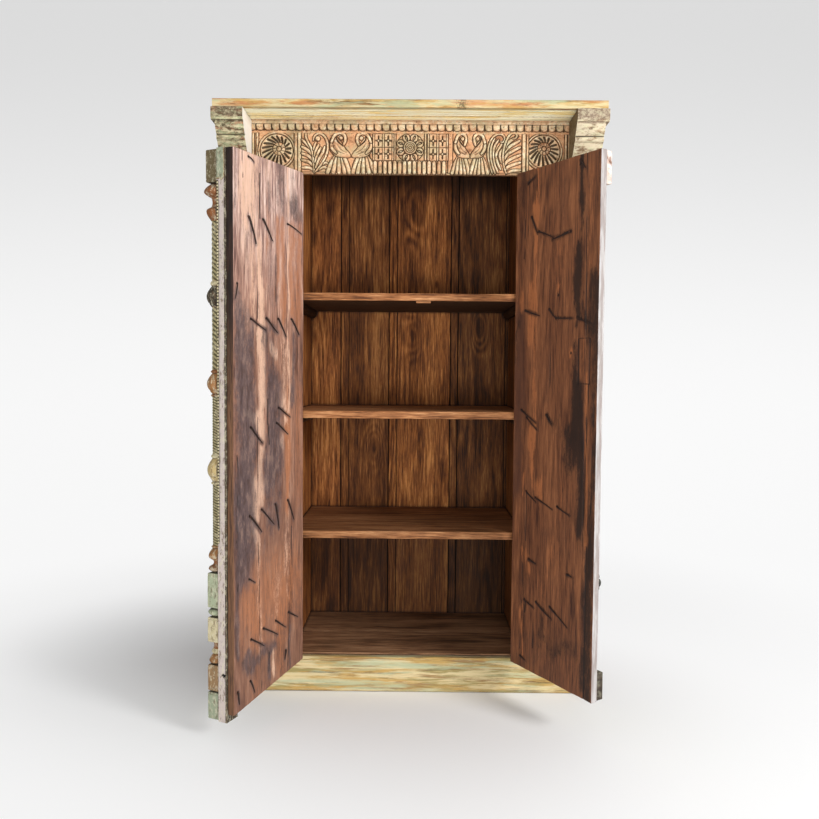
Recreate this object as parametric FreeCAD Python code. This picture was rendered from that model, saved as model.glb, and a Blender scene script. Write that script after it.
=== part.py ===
"""Two-leaf cupboard built from old carved door parts, in millimetres.

The frame has its origin in the middle of the base rail's underside, on the floor. +X is to the
right of someone facing the doors, +Y runs into the cupboard and +Z is up. The two leaves are
modelled shut and are then swung open by LEFT_OPEN_ANGLE and RIGHT_OPEN_ANGLE, which is how the
cupboard stands at rest.
"""
import FreeCAD
import Part

import math
import os

V = FreeCAD.Vector
Z_AXIS = V(0, 0, 1)

# ---------------------------------------------------------------- driving dimensions, carcass
HEIGHT = 1829.0
WIDTH = 1158.0
CARCASS_DEPTH = 505.0
OPENING_WIDTH = 704.0
FRIEZE_DROP = 182.0
BASE_RAIL_HEIGHT = 115.0
BASE_RAIL_THICK = 22.0
SIDE_THICK = 20.0
WALL_THICK = 18.0
WALL_REVEAL = 16.0
BACK_THICK = 18.0
FLOOR_THICK = 20.0
FLOOR_RISE = 5.0
FLOOR_JOINT_DEPTH = 265.0
# Heights of the shelves as shares of the opening's top.
SHELF_SHARES = (0.3182, 0.5519, 0.7784)
SHELF_THICK = 25.0
CLEAT_WIDTH = 20.0
CLEAT_HEIGHT = 25.0
CLEAT_SETBACK = 30.0
CATCH_LENGTH = 47.0
CATCH_DEPTH = 18.0
CATCH_HEIGHT = 6.0
CATCH_CENTRE_X = 46.0
BACK_JOINTS = (-434.0, -257.0, -77.0, 153.0, 181.0, 385.0)
BOARD_GAP = 1.0

# ---------------------------------------------------------------- driving dimensions, front
PILASTER_WIDTH = 89.0
PILASTER_PROUD = 40.0
PILASTER_FOOT = 150.0
PILASTER_FLUTE_RADIUS = 7.0
PILASTER_FLUTE_PITCH = 22.0
PILASTER_FLUTES = 3
FLUTE_END_MARGIN = 60.0
CORNICE_REACH = 130.0
FASCIA_HEIGHT = 24.0
FASCIA_THICK = 18.0
SOFFIT_THICK = 10.0
SOFFIT_GROOVE = 3.0
SOFFIT_ROLL_WIDTH = 48.0
SOFFIT_ROLL_RISE = 5.0
FASCIA_NOSE = 3.0
CORBEL_CAP_HEIGHT = 36.0
CORBEL_CAP_OVERHANG = 5.0
CORBEL_INSET = 4.0
CORBEL_FOOT_GAP = 3.0
CORBEL_STEP_LEAN = 0.36
CORBEL_STEP_DROP = 0.28
CORBEL_BEAD_DROP = 0.14
CORBEL_HEEL_RISE = 0.2
RELIEF = 6.0
GROUND_MARGIN = 4.0

# ---------------------------------------------------------------- driving dimensions, leaves
PLANK_THICK = 23.0
NAIL_ROOM = 6.0
HINGE_EDGE_GAP = 1.5
MEETING_GAP = 3.0
LEAF_TOP_GAP = 4.0
LEAF_BOTTOM_GAP = 9.0
LEFT_TOP_DROP = 10.0
LEFT_BOTTOM_DROP = 46.0
RIGHT_TOP_DROP = 3.0
RIGHT_BOTTOM_DROP = 9.0
# Joint between the two planks, as a share of the leaf's width.
LEFT_PLANK_JOINT = 0.642
RIGHT_PLANK_JOINT = 0.8645
LEFT_OPEN_ANGLE = 114.5
RIGHT_OPEN_ANGLE = 123.0
TOP_LEDGE_HEIGHT = 90.0
TOP_LEDGE_THICK = 26.0
BOTTOM_LEDGE_HEIGHT = 78.0
BOTTOM_LEDGE_THICK = 30.0
# Heights of the middle battens as shares of the opening's top; the outer two keep clear of hinges.
MIDDLE_BATTEN_SHARES = (0.7225, 0.5464, 0.3855)
TOP_BATTEN_GAP = 12.0
BOTTOM_BATTEN_GAP = 1.0
BATTEN_HEIGHT = 58.0
BATTEN_THICK = 19.0
BATTEN_CHAMFER = 7.0
LEDGE_HINGE_MARGIN = 32.0
RIGHT_LEDGE_END_GAP = 8.0
RIGHT_BATTEN_END_GAP = 26.0

# ---------------------------------------------------------------- driving dimensions, astragal
ASTRAGAL_LIP = 4.0
ASTRAGAL_CLEARANCE = 0.5
ASTRAGAL_WIDTH = 50.0
ASTRAGAL_THICK = 30.0
ASTRAGAL_DROP = 22.0
COLUMN_AXIS_OUT = 20.0
SHAFT_RADIUS = 12.0
BLOCK_WIDTH = 46.0
BLOCK_PROUD = 40.0
BLOCK_CHAMFER = 6.0
BLOCK_JOINT_STEP = 1.5
# Turnings from the top down as (kind, height); the shafts stretch to fill the leaf's height.
COLUMN_CAPITAL = (("block", 91.0), ("bulb", 38.0), ("neck", 25.0), ("pear", 38.0))
COLUMN_BAYS = (
    (("shaft", 163.0), ("collar", 14.0), ("dome", 58.0)),
    (("shaft", 173.0), ("collar", 9.0), ("dome", 57.0), ("collar", 8.0)),
    (("shaft", 160.0), ("collar", 11.0), ("dome", 65.0), ("collar", 9.0)),
    (("shaft", 171.0), ("collar", 7.0), ("acorn", 34.0), ("neck", 13.0), ("button", 20.0)),
)
COLUMN_PEDESTAL = (("block", 101.0), ("cushion", 24.0), ("block", 73.0), ("neck", 20.0), ("collar", 14.0))
COLUMN_FOOT = (("flare", 27.0), ("block", 77.0), ("block", 80.0))
# Radius of each turning's crest, and how far down the turning the crest lies, as a share of it.
TURNING_SHAPES = {
    "bulb": (32.0, 0.6),
    "pear": (26.0, 0.28),
    "dome": (26.5, 0.5),
    "collar": (16.0, 0.5),
    "neck": (9.5, 0.5),
    "acorn": (24.0, 0.68),
    "button": (24.0, 0.5),
    "cushion": (25.5, 0.5),
    "flare": (23.0, 0.75),
}
TURNING_STEPS = 4
COLUMN_SIDES = 12
SPINE_WIDTH = 14.0

# ---------------------------------------------------------------- driving dimensions, ironwork
MIDDLE_HINGE_SHARE = 0.4675
TOP_HINGE_GAP = 10.0
BOTTOM_HINGE_GAP = 1.0
HINGE_LENGTH = 62.0
HINGE_PLATE_WIDTH = 45.0
HINGE_PLATE_THICK = 2.5
KNUCKLE_RADIUS = 6.5
KNUCKLE_SIDES = 10
KNUCKLE_CLEARANCE = 0.5
PIN_RADIUS = 3.0
PIN_CLEARANCE = 0.05
NAIL_SIDE = 3.4
NAIL_TAIL_TIP = 1.4
NAIL_TAIL_THICK = 3.0
NAIL_HEAD_SIDE = 13.0
NAIL_HEAD_THICK = 4.0
# Clenched nails of each batten from the top down, then of the top and bottom ledge: share of the
# leaf's width, height above the carrier's middle, and the bent tail's angle and length.
LEFT_NAILS = (
    ((0.80, 19.0, -116.0, 78.0), (0.605, 22.0, -129.0, 70.0), (0.25, 22.0, -166.0, 72.0)),
    (
        (0.77, -12.0, -158.0, 74.0), (0.56, -5.0, -144.0, 68.0),
        (0.39, -3.0, -128.0, 66.0), (0.19, 0.0, -132.0, 60.0),
    ),
    ((0.385, 22.0, -152.0, 66.0), (0.776, -22.0, -138.0, 72.0), (0.414, -20.0, -147.0, 68.0)),
    (
        (0.79, -10.0, -136.0, 78.0), (0.63, 0.0, -139.0, 80.0),
        (0.43, 5.0, -104.0, 76.0), (0.25, 8.0, -116.0, 72.0),
    ),
    (
        (0.78, -22.0, -149.0, 72.0), (0.6, -10.0, -151.0, 80.0),
        (0.43, -5.0, -146.0, 62.0), (0.24, 2.0, -151.0, 57.0),
    ),
    ((0.80, 24.0, -158.0, 27.0), (0.25, 0.0, -150.0, 30.0)),
    ((0.785, 14.0, -114.0, 43.0), (0.277, 8.0, -75.0, 28.0)),
)
RIGHT_NAILS = (
    ((0.205, 22.0, -61.0, 48.0), (0.300, 10.0, -22.0, 62.0), (0.676, -6.0, -170.0, 58.0)),
    ((0.143, 22.0, -16.0, 68.0), (0.442, 22.0, -18.0, 98.0), (0.765, 0.0, -19.0, 55.0)),
    ((0.120, 20.0, -28.0, 75.0), (0.177, -4.0, -36.0, 62.0), (0.428, 11.0, -47.0, 35.0)),
    ((0.183, 10.0, -30.0, 56.0), (0.302, 20.0, -18.0, 80.0), (0.571, 11.0, -19.0, 55.0)),
    ((0.183, 16.0, -18.0, 44.0), (0.331, 22.0, -26.0, 74.0), (0.505, 22.0, -29.0, 86.0)),
    ((0.157, 6.0, 24.0, 34.0), (0.770, 27.0, -51.0, 35.0)),
    ((0.150, -2.0, -16.0, 25.0), (0.702, 4.0, -30.0, 30.0)),
)
BOSS_RADIUS = 37.0
BOSS_PROUD = 20.0
BOSS_PETALS = 8
BOSS_STEPS = 4
BOSS_DOME_SHARE = 0.72
BOSS_PETAL_WAIST = 0.8
BOSS_CROWN_RADIUS = 6.0
BOSS_PETAL_PROUD = 0.4
BOSS_HEIGHT_SHARE = 0.2732
BOSS_EDGE_GAP = 3.0

# ---------------------------------------------------------------- driving dimensions, frieze carving
SCALLOP_PITCH = 25.0
SCALLOP_DEPTH = 27.0
SCALLOP_SETBACK = 1.0
SCALLOP_SIDES = 10
ROSETTE_PETALS = 14
ROSETTE_RING = 5.0
ROSETTE_HUB = 10.0
ROSETTE_PETAL_SHARE = 0.6
ROSETTE_PETAL_LEAN = 0.5
PANEL_WIDTHS = (
    ("diamond", 62.0),
    ("bar", 12.0),
    ("bird", 117.0),
    ("sprig", 90.0),
    ("bar", 22.0),
    ("rosette", 124.0),
)
MEDALLION_WIDTH = 104.0
MEDALLION_PETALS = 8
MEDALLION_HUB_SHARE = 0.32
MEDALLION_PETAL_BULGE = 0.17
FLUTE_BAND_HEIGHT = 33.0
FLUTE_PITCH = 13.0
FLUTE_SHARE = 0.72
PANEL_MARGIN = 5.0
# Shares of a panel's width or height.
SPRIG_STALK_BULGE = 0.09
SPRIG_LEVELS = (0.04, 0.3, 0.56)
SPRIG_LEAF_RISE = 0.4
SPRIG_LEAF_REACH = 0.44
SPRIG_LEAF_BULGE = 0.1
BIRD_PERCH = 0.42
BIRD_TAIL_SPREADS = (-0.3, 0.0, 0.3)
BIRD_TAIL_BULGE = 0.09
BIRD_HEAD_REACH = 0.16
BIRD_HEAD_DROP = 0.16
BIRD_HEAD_RADIUS = 0.11
BIRD_RUMP_REACH = 0.12
BIRD_RUMP_DROP = 0.06
BIRD_TAIL_ROOT = 0.35
BIRD_BODY_BULGE = 0.17
BIRD_BEAK_REACH = 0.3
BIRD_BEAK_DROP = 0.1
BIRD_BEAK_BULGE = 0.04

# ---------------------------------------------------------------- derived places
HALF_WIDTH = WIDTH / 2
HALF_OPENING = OPENING_WIDTH / 2
HALF_INTERIOR = HALF_OPENING + WALL_REVEAL
OPENING_TOP = HEIGHT - FRIEZE_DROP
SHELF_TOPS = tuple(share * OPENING_TOP for share in SHELF_SHARES)
JAMB_THICK = PLANK_THICK + NAIL_ROOM
FRONT = -(JAMB_THICK + BASE_RAIL_THICK / 2)
STOP_Y = FRONT + JAMB_THICK
BACK_Y = FRONT + CARCASS_DEPTH - BACK_THICK
INNER_X = HALF_WIDTH - SIDE_THICK
PILASTER_X = HALF_WIDTH - PILASTER_WIDTH
TOP_Z = HEIGHT - FASCIA_HEIGHT + SOFFIT_THICK
SOFFIT_Z = HEIGHT - FASCIA_HEIGHT
AXIS_PROUD = KNUCKLE_RADIUS + KNUCKLE_CLEARANCE
LEAD_U = HALF_OPENING - MEETING_GAP / 2
LIP_U = LEAD_U + ASTRAGAL_LIP
LEAF_TOP = OPENING_TOP - LEAF_TOP_GAP
LEAF_BOTTOM = BASE_RAIL_HEIGHT + LEAF_BOTTOM_GAP
CORBEL_FOOT = OPENING_TOP + CORBEL_FOOT_GAP
HINGE_CENTRES = (
    LEAF_TOP - TOP_LEDGE_HEIGHT - TOP_HINGE_GAP - HINGE_LENGTH / 2,
    MIDDLE_HINGE_SHARE * OPENING_TOP,
    LEAF_BOTTOM + BOTTOM_LEDGE_HEIGHT + BOTTOM_HINGE_GAP + HINGE_LENGTH / 2,
)
BATTEN_HINGE_REACH = (HINGE_LENGTH + BATTEN_HEIGHT) / 2
BATTEN_CENTRES = (
    HINGE_CENTRES[0] - TOP_BATTEN_GAP - BATTEN_HINGE_REACH,
    *(share * OPENING_TOP for share in MIDDLE_BATTEN_SHARES),
    HINGE_CENTRES[-1] + BOTTOM_BATTEN_GAP + BATTEN_HINGE_REACH,
)
BOSS_CENTRE_Z = BOSS_HEIGHT_SHARE * OPENING_TOP
FLOOR_Z = BASE_RAIL_HEIGHT + FLOOR_RISE
FUSE_DEPTH = 1.0


# ---------------------------------------------------------------- helpers
def box(x0, x1, y0, y1, z0, z1):
    return Part.makeBox(x1 - x0, y1 - y0, z1 - z0, V(x0, y0, z0))


def mirrored(shape):
    return shape.mirror(V(0, 0, 0), V(1, 0, 0))


def face_of(points):
    return Part.Face(Part.makePolygon(points + [points[0]]))


def prism(points, direction):
    """Extrude a closed polygon along a vector."""
    return face_of(points).extrude(direction)


def profile_x(points, x0, x1):
    """Extrude a closed (y, z) profile from x0 to x1."""
    return prism([V(x0, y, z) for y, z in points], V(x1 - x0, 0, 0))


def outline_y(points, y0, y1):
    """Extrude a closed (x, z) outline from y0 to y1."""
    return prism([V(x, y0, z) for x, z in points], V(0, y1 - y0, 0))


def cylinder_x(y, z, radius, half_length):
    return Part.makeCylinder(radius, 2 * half_length, V(-half_length, y, z), V(1, 0, 0))


def disc(x, z, radius, y0, y1):
    return Part.makeCylinder(radius, y1 - y0, V(x, y0, z), V(0, 1, 0))


def lens(x0, z0, x1, z1, bulge, y0, y1):
    """Leaf-shaped solid between two points, made of two arcs."""
    start = V(x0, y0, z0)
    end = V(x1, y0, z1)
    middle = (start + end) * 0.5
    along = end - start
    side = V(-along.z, 0, along.x) * (bulge / along.Length)
    upper = Part.Arc(start, middle + side, end).toShape()
    lower = Part.Arc(end, middle - side, start).toShape()
    return Part.Face(Part.Wire([upper, lower])).extrude(V(0, y1 - y0, 0))


def polygon(radius, sides):
    """(a, b) corners of a regular polygon round the origin."""
    turns = [2 * math.pi * (i + 0.5) / sides for i in range(sides)]
    return [(radius * math.cos(turn), radius * math.sin(turn)) for turn in turns]


def carved_round(outline, sides):
    """Solid round the Z axis through (radius, z) points, with one flat facet per side and step."""
    rings = [[V(x, y, z) for x, y in polygon(radius, sides)] for radius, z in outline]
    faces = [face_of(rings[0]), face_of(rings[-1])]
    for upper, lower in zip(rings, rings[1:]):
        for i in range(sides):
            after = (i + 1) % sides
            faces.append(face_of([upper[i], upper[after], lower[after], lower[i]]))
    return Part.Solid(Part.Shell(faces))


def group(shapes):
    return Part.makeCompound(shapes)


def save(name, shape):
    shape.exportStep("parts/" + name + ".step")


# ---------------------------------------------------------------- carcass
def base_rail():
    y0 = STOP_Y
    return box(-INNER_X, INNER_X, y0, y0 + BASE_RAIL_THICK, 0, BASE_RAIL_HEIGHT)


def floor_boards():
    z0 = FLOOR_Z - FLOOR_THICK
    joint = FRONT + FLOOR_JOINT_DEPTH
    front = box(-INNER_X, INNER_X, STOP_Y + BASE_RAIL_THICK, joint - BOARD_GAP / 2, z0, FLOOR_Z)
    rear = box(-INNER_X, INNER_X, joint + BOARD_GAP / 2, BACK_Y, z0, FLOOR_Z)
    return front, rear


def side_panel():
    return box(INNER_X, HALF_WIDTH, FRONT, BACK_Y, 0, TOP_Z)


def inner_wall():
    return box(HALF_INTERIOR, HALF_INTERIOR + WALL_THICK, STOP_Y, BACK_Y, FLOOR_Z, TOP_Z)


def shelf(top):
    return box(-HALF_INTERIOR, HALF_INTERIOR, STOP_Y, BACK_Y, top - SHELF_THICK, top)


def shelf_cleat(top):
    """Bevelled strip on the right inner wall under one shelf."""
    z1 = top - SHELF_THICK
    x1 = HALF_INTERIOR
    bevel = CLEAT_WIDTH / 2
    points = [
        (x1 - CLEAT_WIDTH, z1),
        (x1, z1),
        (x1, z1 - CLEAT_HEIGHT),
        (x1 - CLEAT_WIDTH + bevel, z1 - CLEAT_HEIGHT),
        (x1 - CLEAT_WIDTH, z1 - CLEAT_HEIGHT + bevel),
    ]
    return outline_y(points, STOP_Y + CLEAT_SETBACK, BACK_Y)


def catch_block():
    z1 = SHELF_TOPS[-1] - SHELF_THICK
    x0 = CATCH_CENTRE_X - CATCH_LENGTH / 2
    return box(x0, x0 + CATCH_LENGTH, STOP_Y, STOP_Y + CATCH_DEPTH, z1 - CATCH_HEIGHT, z1)


def back_boards():
    edges = [-HALF_WIDTH] + list(BACK_JOINTS) + [HALF_WIDTH]
    boards = []
    for left, right in zip(edges, edges[1:]):
        x0 = left if left == edges[0] else left + BOARD_GAP / 2
        x1 = right if right == edges[-1] else right - BOARD_GAP / 2
        boards.append(box(x0, x1, BACK_Y, BACK_Y + BACK_THICK, 0, TOP_Z))
    return boards


def top_board():
    y0 = FRONT - CORNICE_REACH + FASCIA_THICK
    return box(-HALF_WIDTH, HALF_WIDTH, y0, BACK_Y + BACK_THICK, TOP_Z, HEIGHT)


# ---------------------------------------------------------------- cornice, corbels, pilasters, jambs
def cornice_fascia():
    """Front board of the cornice, with a rounded nose along its lower edge."""
    y0 = FRONT - CORNICE_REACH
    board = box(-HALF_WIDTH, HALF_WIDTH, y0, y0 + FASCIA_THICK, SOFFIT_Z, HEIGHT)
    nose = [e for e in board.Edges if abs(e.CenterOfMass.y - y0) < 1 and abs(e.CenterOfMass.x) < 1]
    return board.makeFillet(FASCIA_NOSE, nose)


def soffit_moulding():
    """Reeded board under the cornice: three grooves and one wide roll that run along X."""
    y0 = FRONT - CORNICE_REACH + FASCIA_THICK
    y1 = FRONT
    board = box(-HALF_WIDTH, HALF_WIDTH, y0, y1, SOFFIT_Z, TOP_Z)
    roll_y = y1 - SOFFIT_ROLL_WIDTH
    flat = roll_y - y0
    for place in (y0 + flat / 5, y0 + flat / 2, y0 + flat * 4 / 5):
        board = board.cut(cylinder_x(place, SOFFIT_Z, SOFFIT_GROOVE, HALF_WIDTH))
    below_z = SOFFIT_Z - FUSE_DEPTH
    crest = V(0, roll_y + SOFFIT_ROLL_WIDTH / 2, SOFFIT_Z)
    left = V(0, roll_y, SOFFIT_Z + SOFFIT_ROLL_RISE)
    right = V(0, y1, SOFFIT_Z + SOFFIT_ROLL_RISE)
    arc = Part.Arc(left, crest, right).toShape()
    below = Part.makePolygon([right, V(0, y1, below_z), V(0, roll_y, below_z), left])
    cutter = Part.Face(Part.Wire([arc] + below.Edges)).extrude(V(2 * HALF_WIDTH, 0, 0))
    cutter.translate(V(-HALF_WIDTH, 0, 0))
    return board.cut(cutter)


def corbel():
    """Right bracket: a square cap on a stepped, grooved body that sweeps back to the pilaster."""
    cap_z = SOFFIT_Z - CORBEL_CAP_HEIGHT
    reach = CORNICE_REACH
    cap_points = [
        (FRONT, SOFFIT_Z),
        (FRONT - reach, SOFFIT_Z),
        (FRONT - reach, cap_z + CORBEL_CAP_HEIGHT / 4),
        (FRONT - reach + CORBEL_CAP_OVERHANG, cap_z),
        (FRONT, cap_z),
    ]
    cap = profile_x(cap_points, PILASTER_X, HALF_WIDTH + CORBEL_CAP_OVERHANG)
    drop = cap_z - CORBEL_FOOT
    lean = reach - PILASTER_PROUD
    top = V(0, FRONT - reach + 2 * CORBEL_CAP_OVERHANG, cap_z)
    step = V(0, FRONT - reach + lean * CORBEL_STEP_LEAN, cap_z - drop * CORBEL_STEP_DROP)
    ledge = V(0, step.y + CORBEL_CAP_OVERHANG, step.z)
    bead_low = V(0, ledge.y + CORBEL_CAP_OVERHANG, ledge.z - drop * CORBEL_BEAD_DROP)
    bead_mid = V(0, ledge.y - CORBEL_CAP_OVERHANG, (ledge.z + bead_low.z) / 2)
    heel = V(0, FRONT - PILASTER_PROUD, CORBEL_FOOT + drop * CORBEL_HEEL_RISE)
    belly = V(0, (bead_low.y + heel.y) / 2 - CORBEL_CAP_OVERHANG, (bead_low.z + heel.z) / 2)
    base = V(0, FRONT - PILASTER_PROUD, CORBEL_FOOT)
    shoulder = V(0, (top.y + step.y) / 2 - CORBEL_CAP_OVERHANG / 2, (top.z + step.z) / 2)
    edges = [
        Part.Arc(top, shoulder, step).toShape(),
        Part.makeLine(step, ledge),
        Part.Arc(ledge, bead_mid, bead_low).toShape(),
        Part.Arc(bead_low, belly, heel).toShape(),
        Part.makeLine(heel, base),
        Part.makeLine(base, V(0, FRONT, CORBEL_FOOT)),
        Part.makeLine(V(0, FRONT, CORBEL_FOOT), V(0, FRONT, cap_z)),
        Part.makeLine(V(0, FRONT, cap_z), top),
    ]
    width = PILASTER_WIDTH - CORBEL_INSET
    body = Part.Face(Part.Wire(edges)).extrude(V(width, 0, 0))
    body.translate(V(PILASTER_X, 0, 0))
    return cap.fuse(body).removeSplitter()


def pilaster():
    """Right pilaster: a square foot block under a fluted shaft that runs up to the corbel."""
    y0 = FRONT - PILASTER_PROUD
    foot_top = BASE_RAIL_HEIGHT + PILASTER_FOOT
    foot = box(PILASTER_X, HALF_WIDTH, y0, FRONT, BASE_RAIL_HEIGHT, foot_top)
    step = CORBEL_CAP_OVERHANG
    shaft = box(PILASTER_X, HALF_WIDTH - step, y0 + step, FRONT, foot_top - FUSE_DEPTH, CORBEL_FOOT)
    post = foot.fuse(shaft).removeSplitter()
    centre = (PILASTER_X + HALF_WIDTH - step) / 2
    z0 = foot_top + FLUTE_END_MARGIN
    z1 = CORBEL_FOOT - FLUTE_END_MARGIN
    for index in range(PILASTER_FLUTES):
        x = centre + (index - (PILASTER_FLUTES - 1) / 2) * PILASTER_FLUTE_PITCH
        post = post.cut(Part.makeCylinder(PILASTER_FLUTE_RADIUS, z1 - z0, V(x, y0 + step, z0), Z_AXIS))
    return post


def jamb():
    """Right jamb board, planted on the inner wall's front edge; the base rail is set back below it."""
    x0 = HALF_OPENING + HINGE_EDGE_GAP
    return box(x0, INNER_X, FRONT, STOP_Y, BASE_RAIL_HEIGHT, OPENING_TOP)


# ---------------------------------------------------------------- carved frieze
def carve_rosette(x, z, radius, y0, y1):
    hollow = disc(x, z, radius - ROSETTE_RING, y0 - FUSE_DEPTH, y1 + FUSE_DEPTH)
    ring = disc(x, z, radius, y0, y1).cut(hollow)
    pieces = [ring, disc(x, z, ROSETTE_HUB, y0, y1)]
    inner = ROSETTE_HUB - FUSE_DEPTH
    outer = radius - ROSETTE_RING + FUSE_DEPTH
    step = 2 * math.pi / ROSETTE_PETALS
    for index in range(ROSETTE_PETALS):
        start = index * step
        end = start + step * ROSETTE_PETAL_SHARE
        lean = step * ROSETTE_PETAL_LEAN
        points = [
            (x + inner * math.cos(start), z + inner * math.sin(start)),
            (x + outer * math.cos(start + lean), z + outer * math.sin(start + lean)),
            (x + outer * math.cos(end + lean), z + outer * math.sin(end + lean)),
            (x + inner * math.cos(end), z + inner * math.sin(end)),
        ]
        pieces.append(outline_y(points, y0, y1))
    return pieces


def carve_sprig(x, z0, z1, width, y0, y1):
    """Upright sprig: a centre leaf and three pairs of side leaves."""
    height = z1 - z0
    pieces = [lens(x, z0, x, z1, width * SPRIG_STALK_BULGE, y0, y1)]
    for level in SPRIG_LEVELS:
        for side in (-1, 1):
            root_z = z0 + height * level
            tip_x = x + side * width * SPRIG_LEAF_REACH
            tip_z = root_z + height * SPRIG_LEAF_RISE
            pieces.append(lens(x, root_z, tip_x, tip_z, width * SPRIG_LEAF_BULGE, y0, y1))
    return pieces


def carve_bird(x, z0, z1, width, facing, y0, y1):
    """Perched bird: fanned tail below, leaning body, round head and a short beak."""
    height = z1 - z0
    perch_z = z0 + height * BIRD_PERCH
    head_x = x + facing * width * BIRD_HEAD_REACH
    head_z = z1 - height * BIRD_HEAD_DROP
    rump_x = x - facing * width * BIRD_RUMP_REACH
    rump_z = perch_z - height * BIRD_RUMP_DROP
    beak_x = head_x + facing * width * BIRD_BEAK_REACH
    beak_z = head_z - height * BIRD_BEAK_DROP
    root_x = rump_x + (head_x - rump_x) * BIRD_TAIL_ROOT
    root_z = rump_z + (head_z - rump_z) * BIRD_TAIL_ROOT
    pieces = [lens(rump_x, rump_z, head_x, head_z, width * BIRD_BODY_BULGE, y0, y1)]
    for spread in BIRD_TAIL_SPREADS:
        pieces.append(lens(root_x, root_z, x + spread * width, z0, width * BIRD_TAIL_BULGE, y0, y1))
    pieces.append(disc(head_x, head_z, height * BIRD_HEAD_RADIUS, y0, y1))
    pieces.append(lens(head_x, head_z, beak_x, beak_z, height * BIRD_BEAK_BULGE, y0, y1))
    return pieces


def carve_diamonds(x, z0, z1, width, y0, y1):
    """Two by two square frames, each with a diamond flower."""
    pieces = []
    cell_w = width / 2
    cell_h = (z1 - z0) / 2
    bar = PANEL_MARGIN / 2
    for column in (-1, 1):
        for row in (0, 1):
            cx = x + column * cell_w / 2
            cz = z0 + cell_h * (row + 0.5)
            rx = cell_w / 2 - PANEL_MARGIN
            rz = cell_h / 2 - PANEL_MARGIN
            pieces.append(outline_y([(cx - rx, cz), (cx, cz - rz), (cx + rx, cz), (cx, cz + rz)], y0, y1))
    mid = (z0 + z1) / 2
    pieces.append(box(x - bar, x + bar, y0, y1, z0, z1))
    pieces.append(box(x - cell_w, x + cell_w, y0, y1, mid - bar, mid + bar))
    return pieces


def carve_medallion(x, z, radius, y0, y1):
    pieces = [disc(x, z, radius * MEDALLION_HUB_SHARE, y0, y1)]
    for index in range(MEDALLION_PETALS):
        angle = 2 * math.pi * index / MEDALLION_PETALS
        tip_x = x + radius * math.cos(angle)
        tip_z = z + radius * math.sin(angle)
        pieces.append(lens(x, z, tip_x, tip_z, radius * MEDALLION_PETAL_BULGE, y0, y1))
    return pieces


def frieze_motifs(z0, z1, zone, y0, y1):
    """Every raised figure of the frieze, laid out in mirrored panels from the centre."""
    nominal = MEDALLION_WIDTH / 2 + sum(width for kind, width in PANEL_WIDTHS)
    scale = (zone - PANEL_MARGIN) / nominal
    edge = MEDALLION_WIDTH / 2 * scale
    flute_run = edge + PANEL_WIDTHS[0][1] * scale - PANEL_MARGIN
    band = z0 + FLUTE_BAND_HEIGHT
    radius = min(edge, (z1 - band) / 2) - PANEL_MARGIN
    clear_z = z0 + PANEL_MARGIN / 2
    pieces = carve_medallion(0, (band + z1) / 2, radius, y0, y1)
    for kind, nominal_width in PANEL_WIDTHS:
        width = nominal_width * scale
        centre = edge + width / 2
        inner = width - 2 * PANEL_MARGIN
        for side in (-1, 1):
            x = side * centre
            if kind == "bar":
                half = width / 2 - PANEL_MARGIN / 4
                pieces.append(box(x - half, x + half, y0, y1, z0, z1))
            elif kind == "diamond":
                pieces += carve_diamonds(x, band, z1, inner, y0, y1)
            elif kind == "bird":
                quarter = inner / 4
                pieces += carve_bird(x - quarter, clear_z, z1, inner / 2, 1, y0, y1)
                pieces += carve_bird(x + quarter, clear_z, z1, inner / 2, -1, y0, y1)
            elif kind == "sprig":
                pieces += carve_sprig(x, clear_z, z1, inner, y0, y1)
            else:
                reach = min(inner, z1 - clear_z) / 2
                pieces += carve_rosette(x, (clear_z + z1) / 2, reach, y0, y1)
        edge += width
    count = int(2 * flute_run / FLUTE_PITCH)
    for index in range(count):
        x = (index - (count - 1) / 2) * FLUTE_PITCH
        half = FLUTE_PITCH * FLUTE_SHARE / 2
        pieces.append(box(x - half, x + half, y0, y1, z0, band - PANEL_MARGIN))
    return pieces


def frieze_board():
    """Lintel of the frame: sunk ground, a row of scallops along the top and raised figures."""
    board = box(-INNER_X, INNER_X, FRONT, STOP_Y, OPENING_TOP, TOP_Z)
    zone = PILASTER_X
    ground_y = FRONT + RELIEF
    z0 = OPENING_TOP + GROUND_MARGIN
    z1 = SOFFIT_Z - GROUND_MARGIN
    board = board.cut(box(-zone, zone, FRONT - FUSE_DEPTH, ground_y, z0, z1))
    y1 = ground_y + FUSE_DEPTH
    count = int(2 * zone / SCALLOP_PITCH)
    radius = SCALLOP_PITCH / 2 - FUSE_DEPTH
    drop = z1 - (SCALLOP_DEPTH - radius)
    face_y = FRONT + SCALLOP_SETBACK
    scallops = [box(-zone, zone, face_y, y1, drop, z1 + FUSE_DEPTH)]
    for index in range(count):
        x = (index - (count - 1) / 2) * SCALLOP_PITCH
        lobe = [(x + a, drop + b) for a, b in polygon(radius, SCALLOP_SIDES)]
        scallops.append(outline_y(lobe, face_y, y1))
    figures = frieze_motifs(z0, drop - radius - GROUND_MARGIN, zone, FRONT, y1)
    return board.multiFuse(scallops + figures).removeSplitter()


# ---------------------------------------------------------------- leaves
# A leaf is drawn with u along +X from the hinge axis to the leading edge, v along +Y from the
# planks' outer face inwards, and is then placed on its side of the opening and swung open.
def place_leaf(shape, side):
    if side < 0:
        placed = shape.copy()
    else:
        placed = mirrored(shape)
    placed.translate(V(side * HALF_OPENING, FRONT, 0))
    angle = -LEFT_OPEN_ANGLE if side < 0 else RIGHT_OPEN_ANGLE
    placed.rotate(V(side * HALF_OPENING, FRONT - AXIS_PROUD, 0), Z_AXIS, angle)
    return placed


def edge_line(start, drop, u):
    """Height of a leaf's sagging top or bottom edge at u."""
    return start - drop * (u - HINGE_EDGE_GAP) / (LEAD_U - HINGE_EDGE_GAP)


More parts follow.
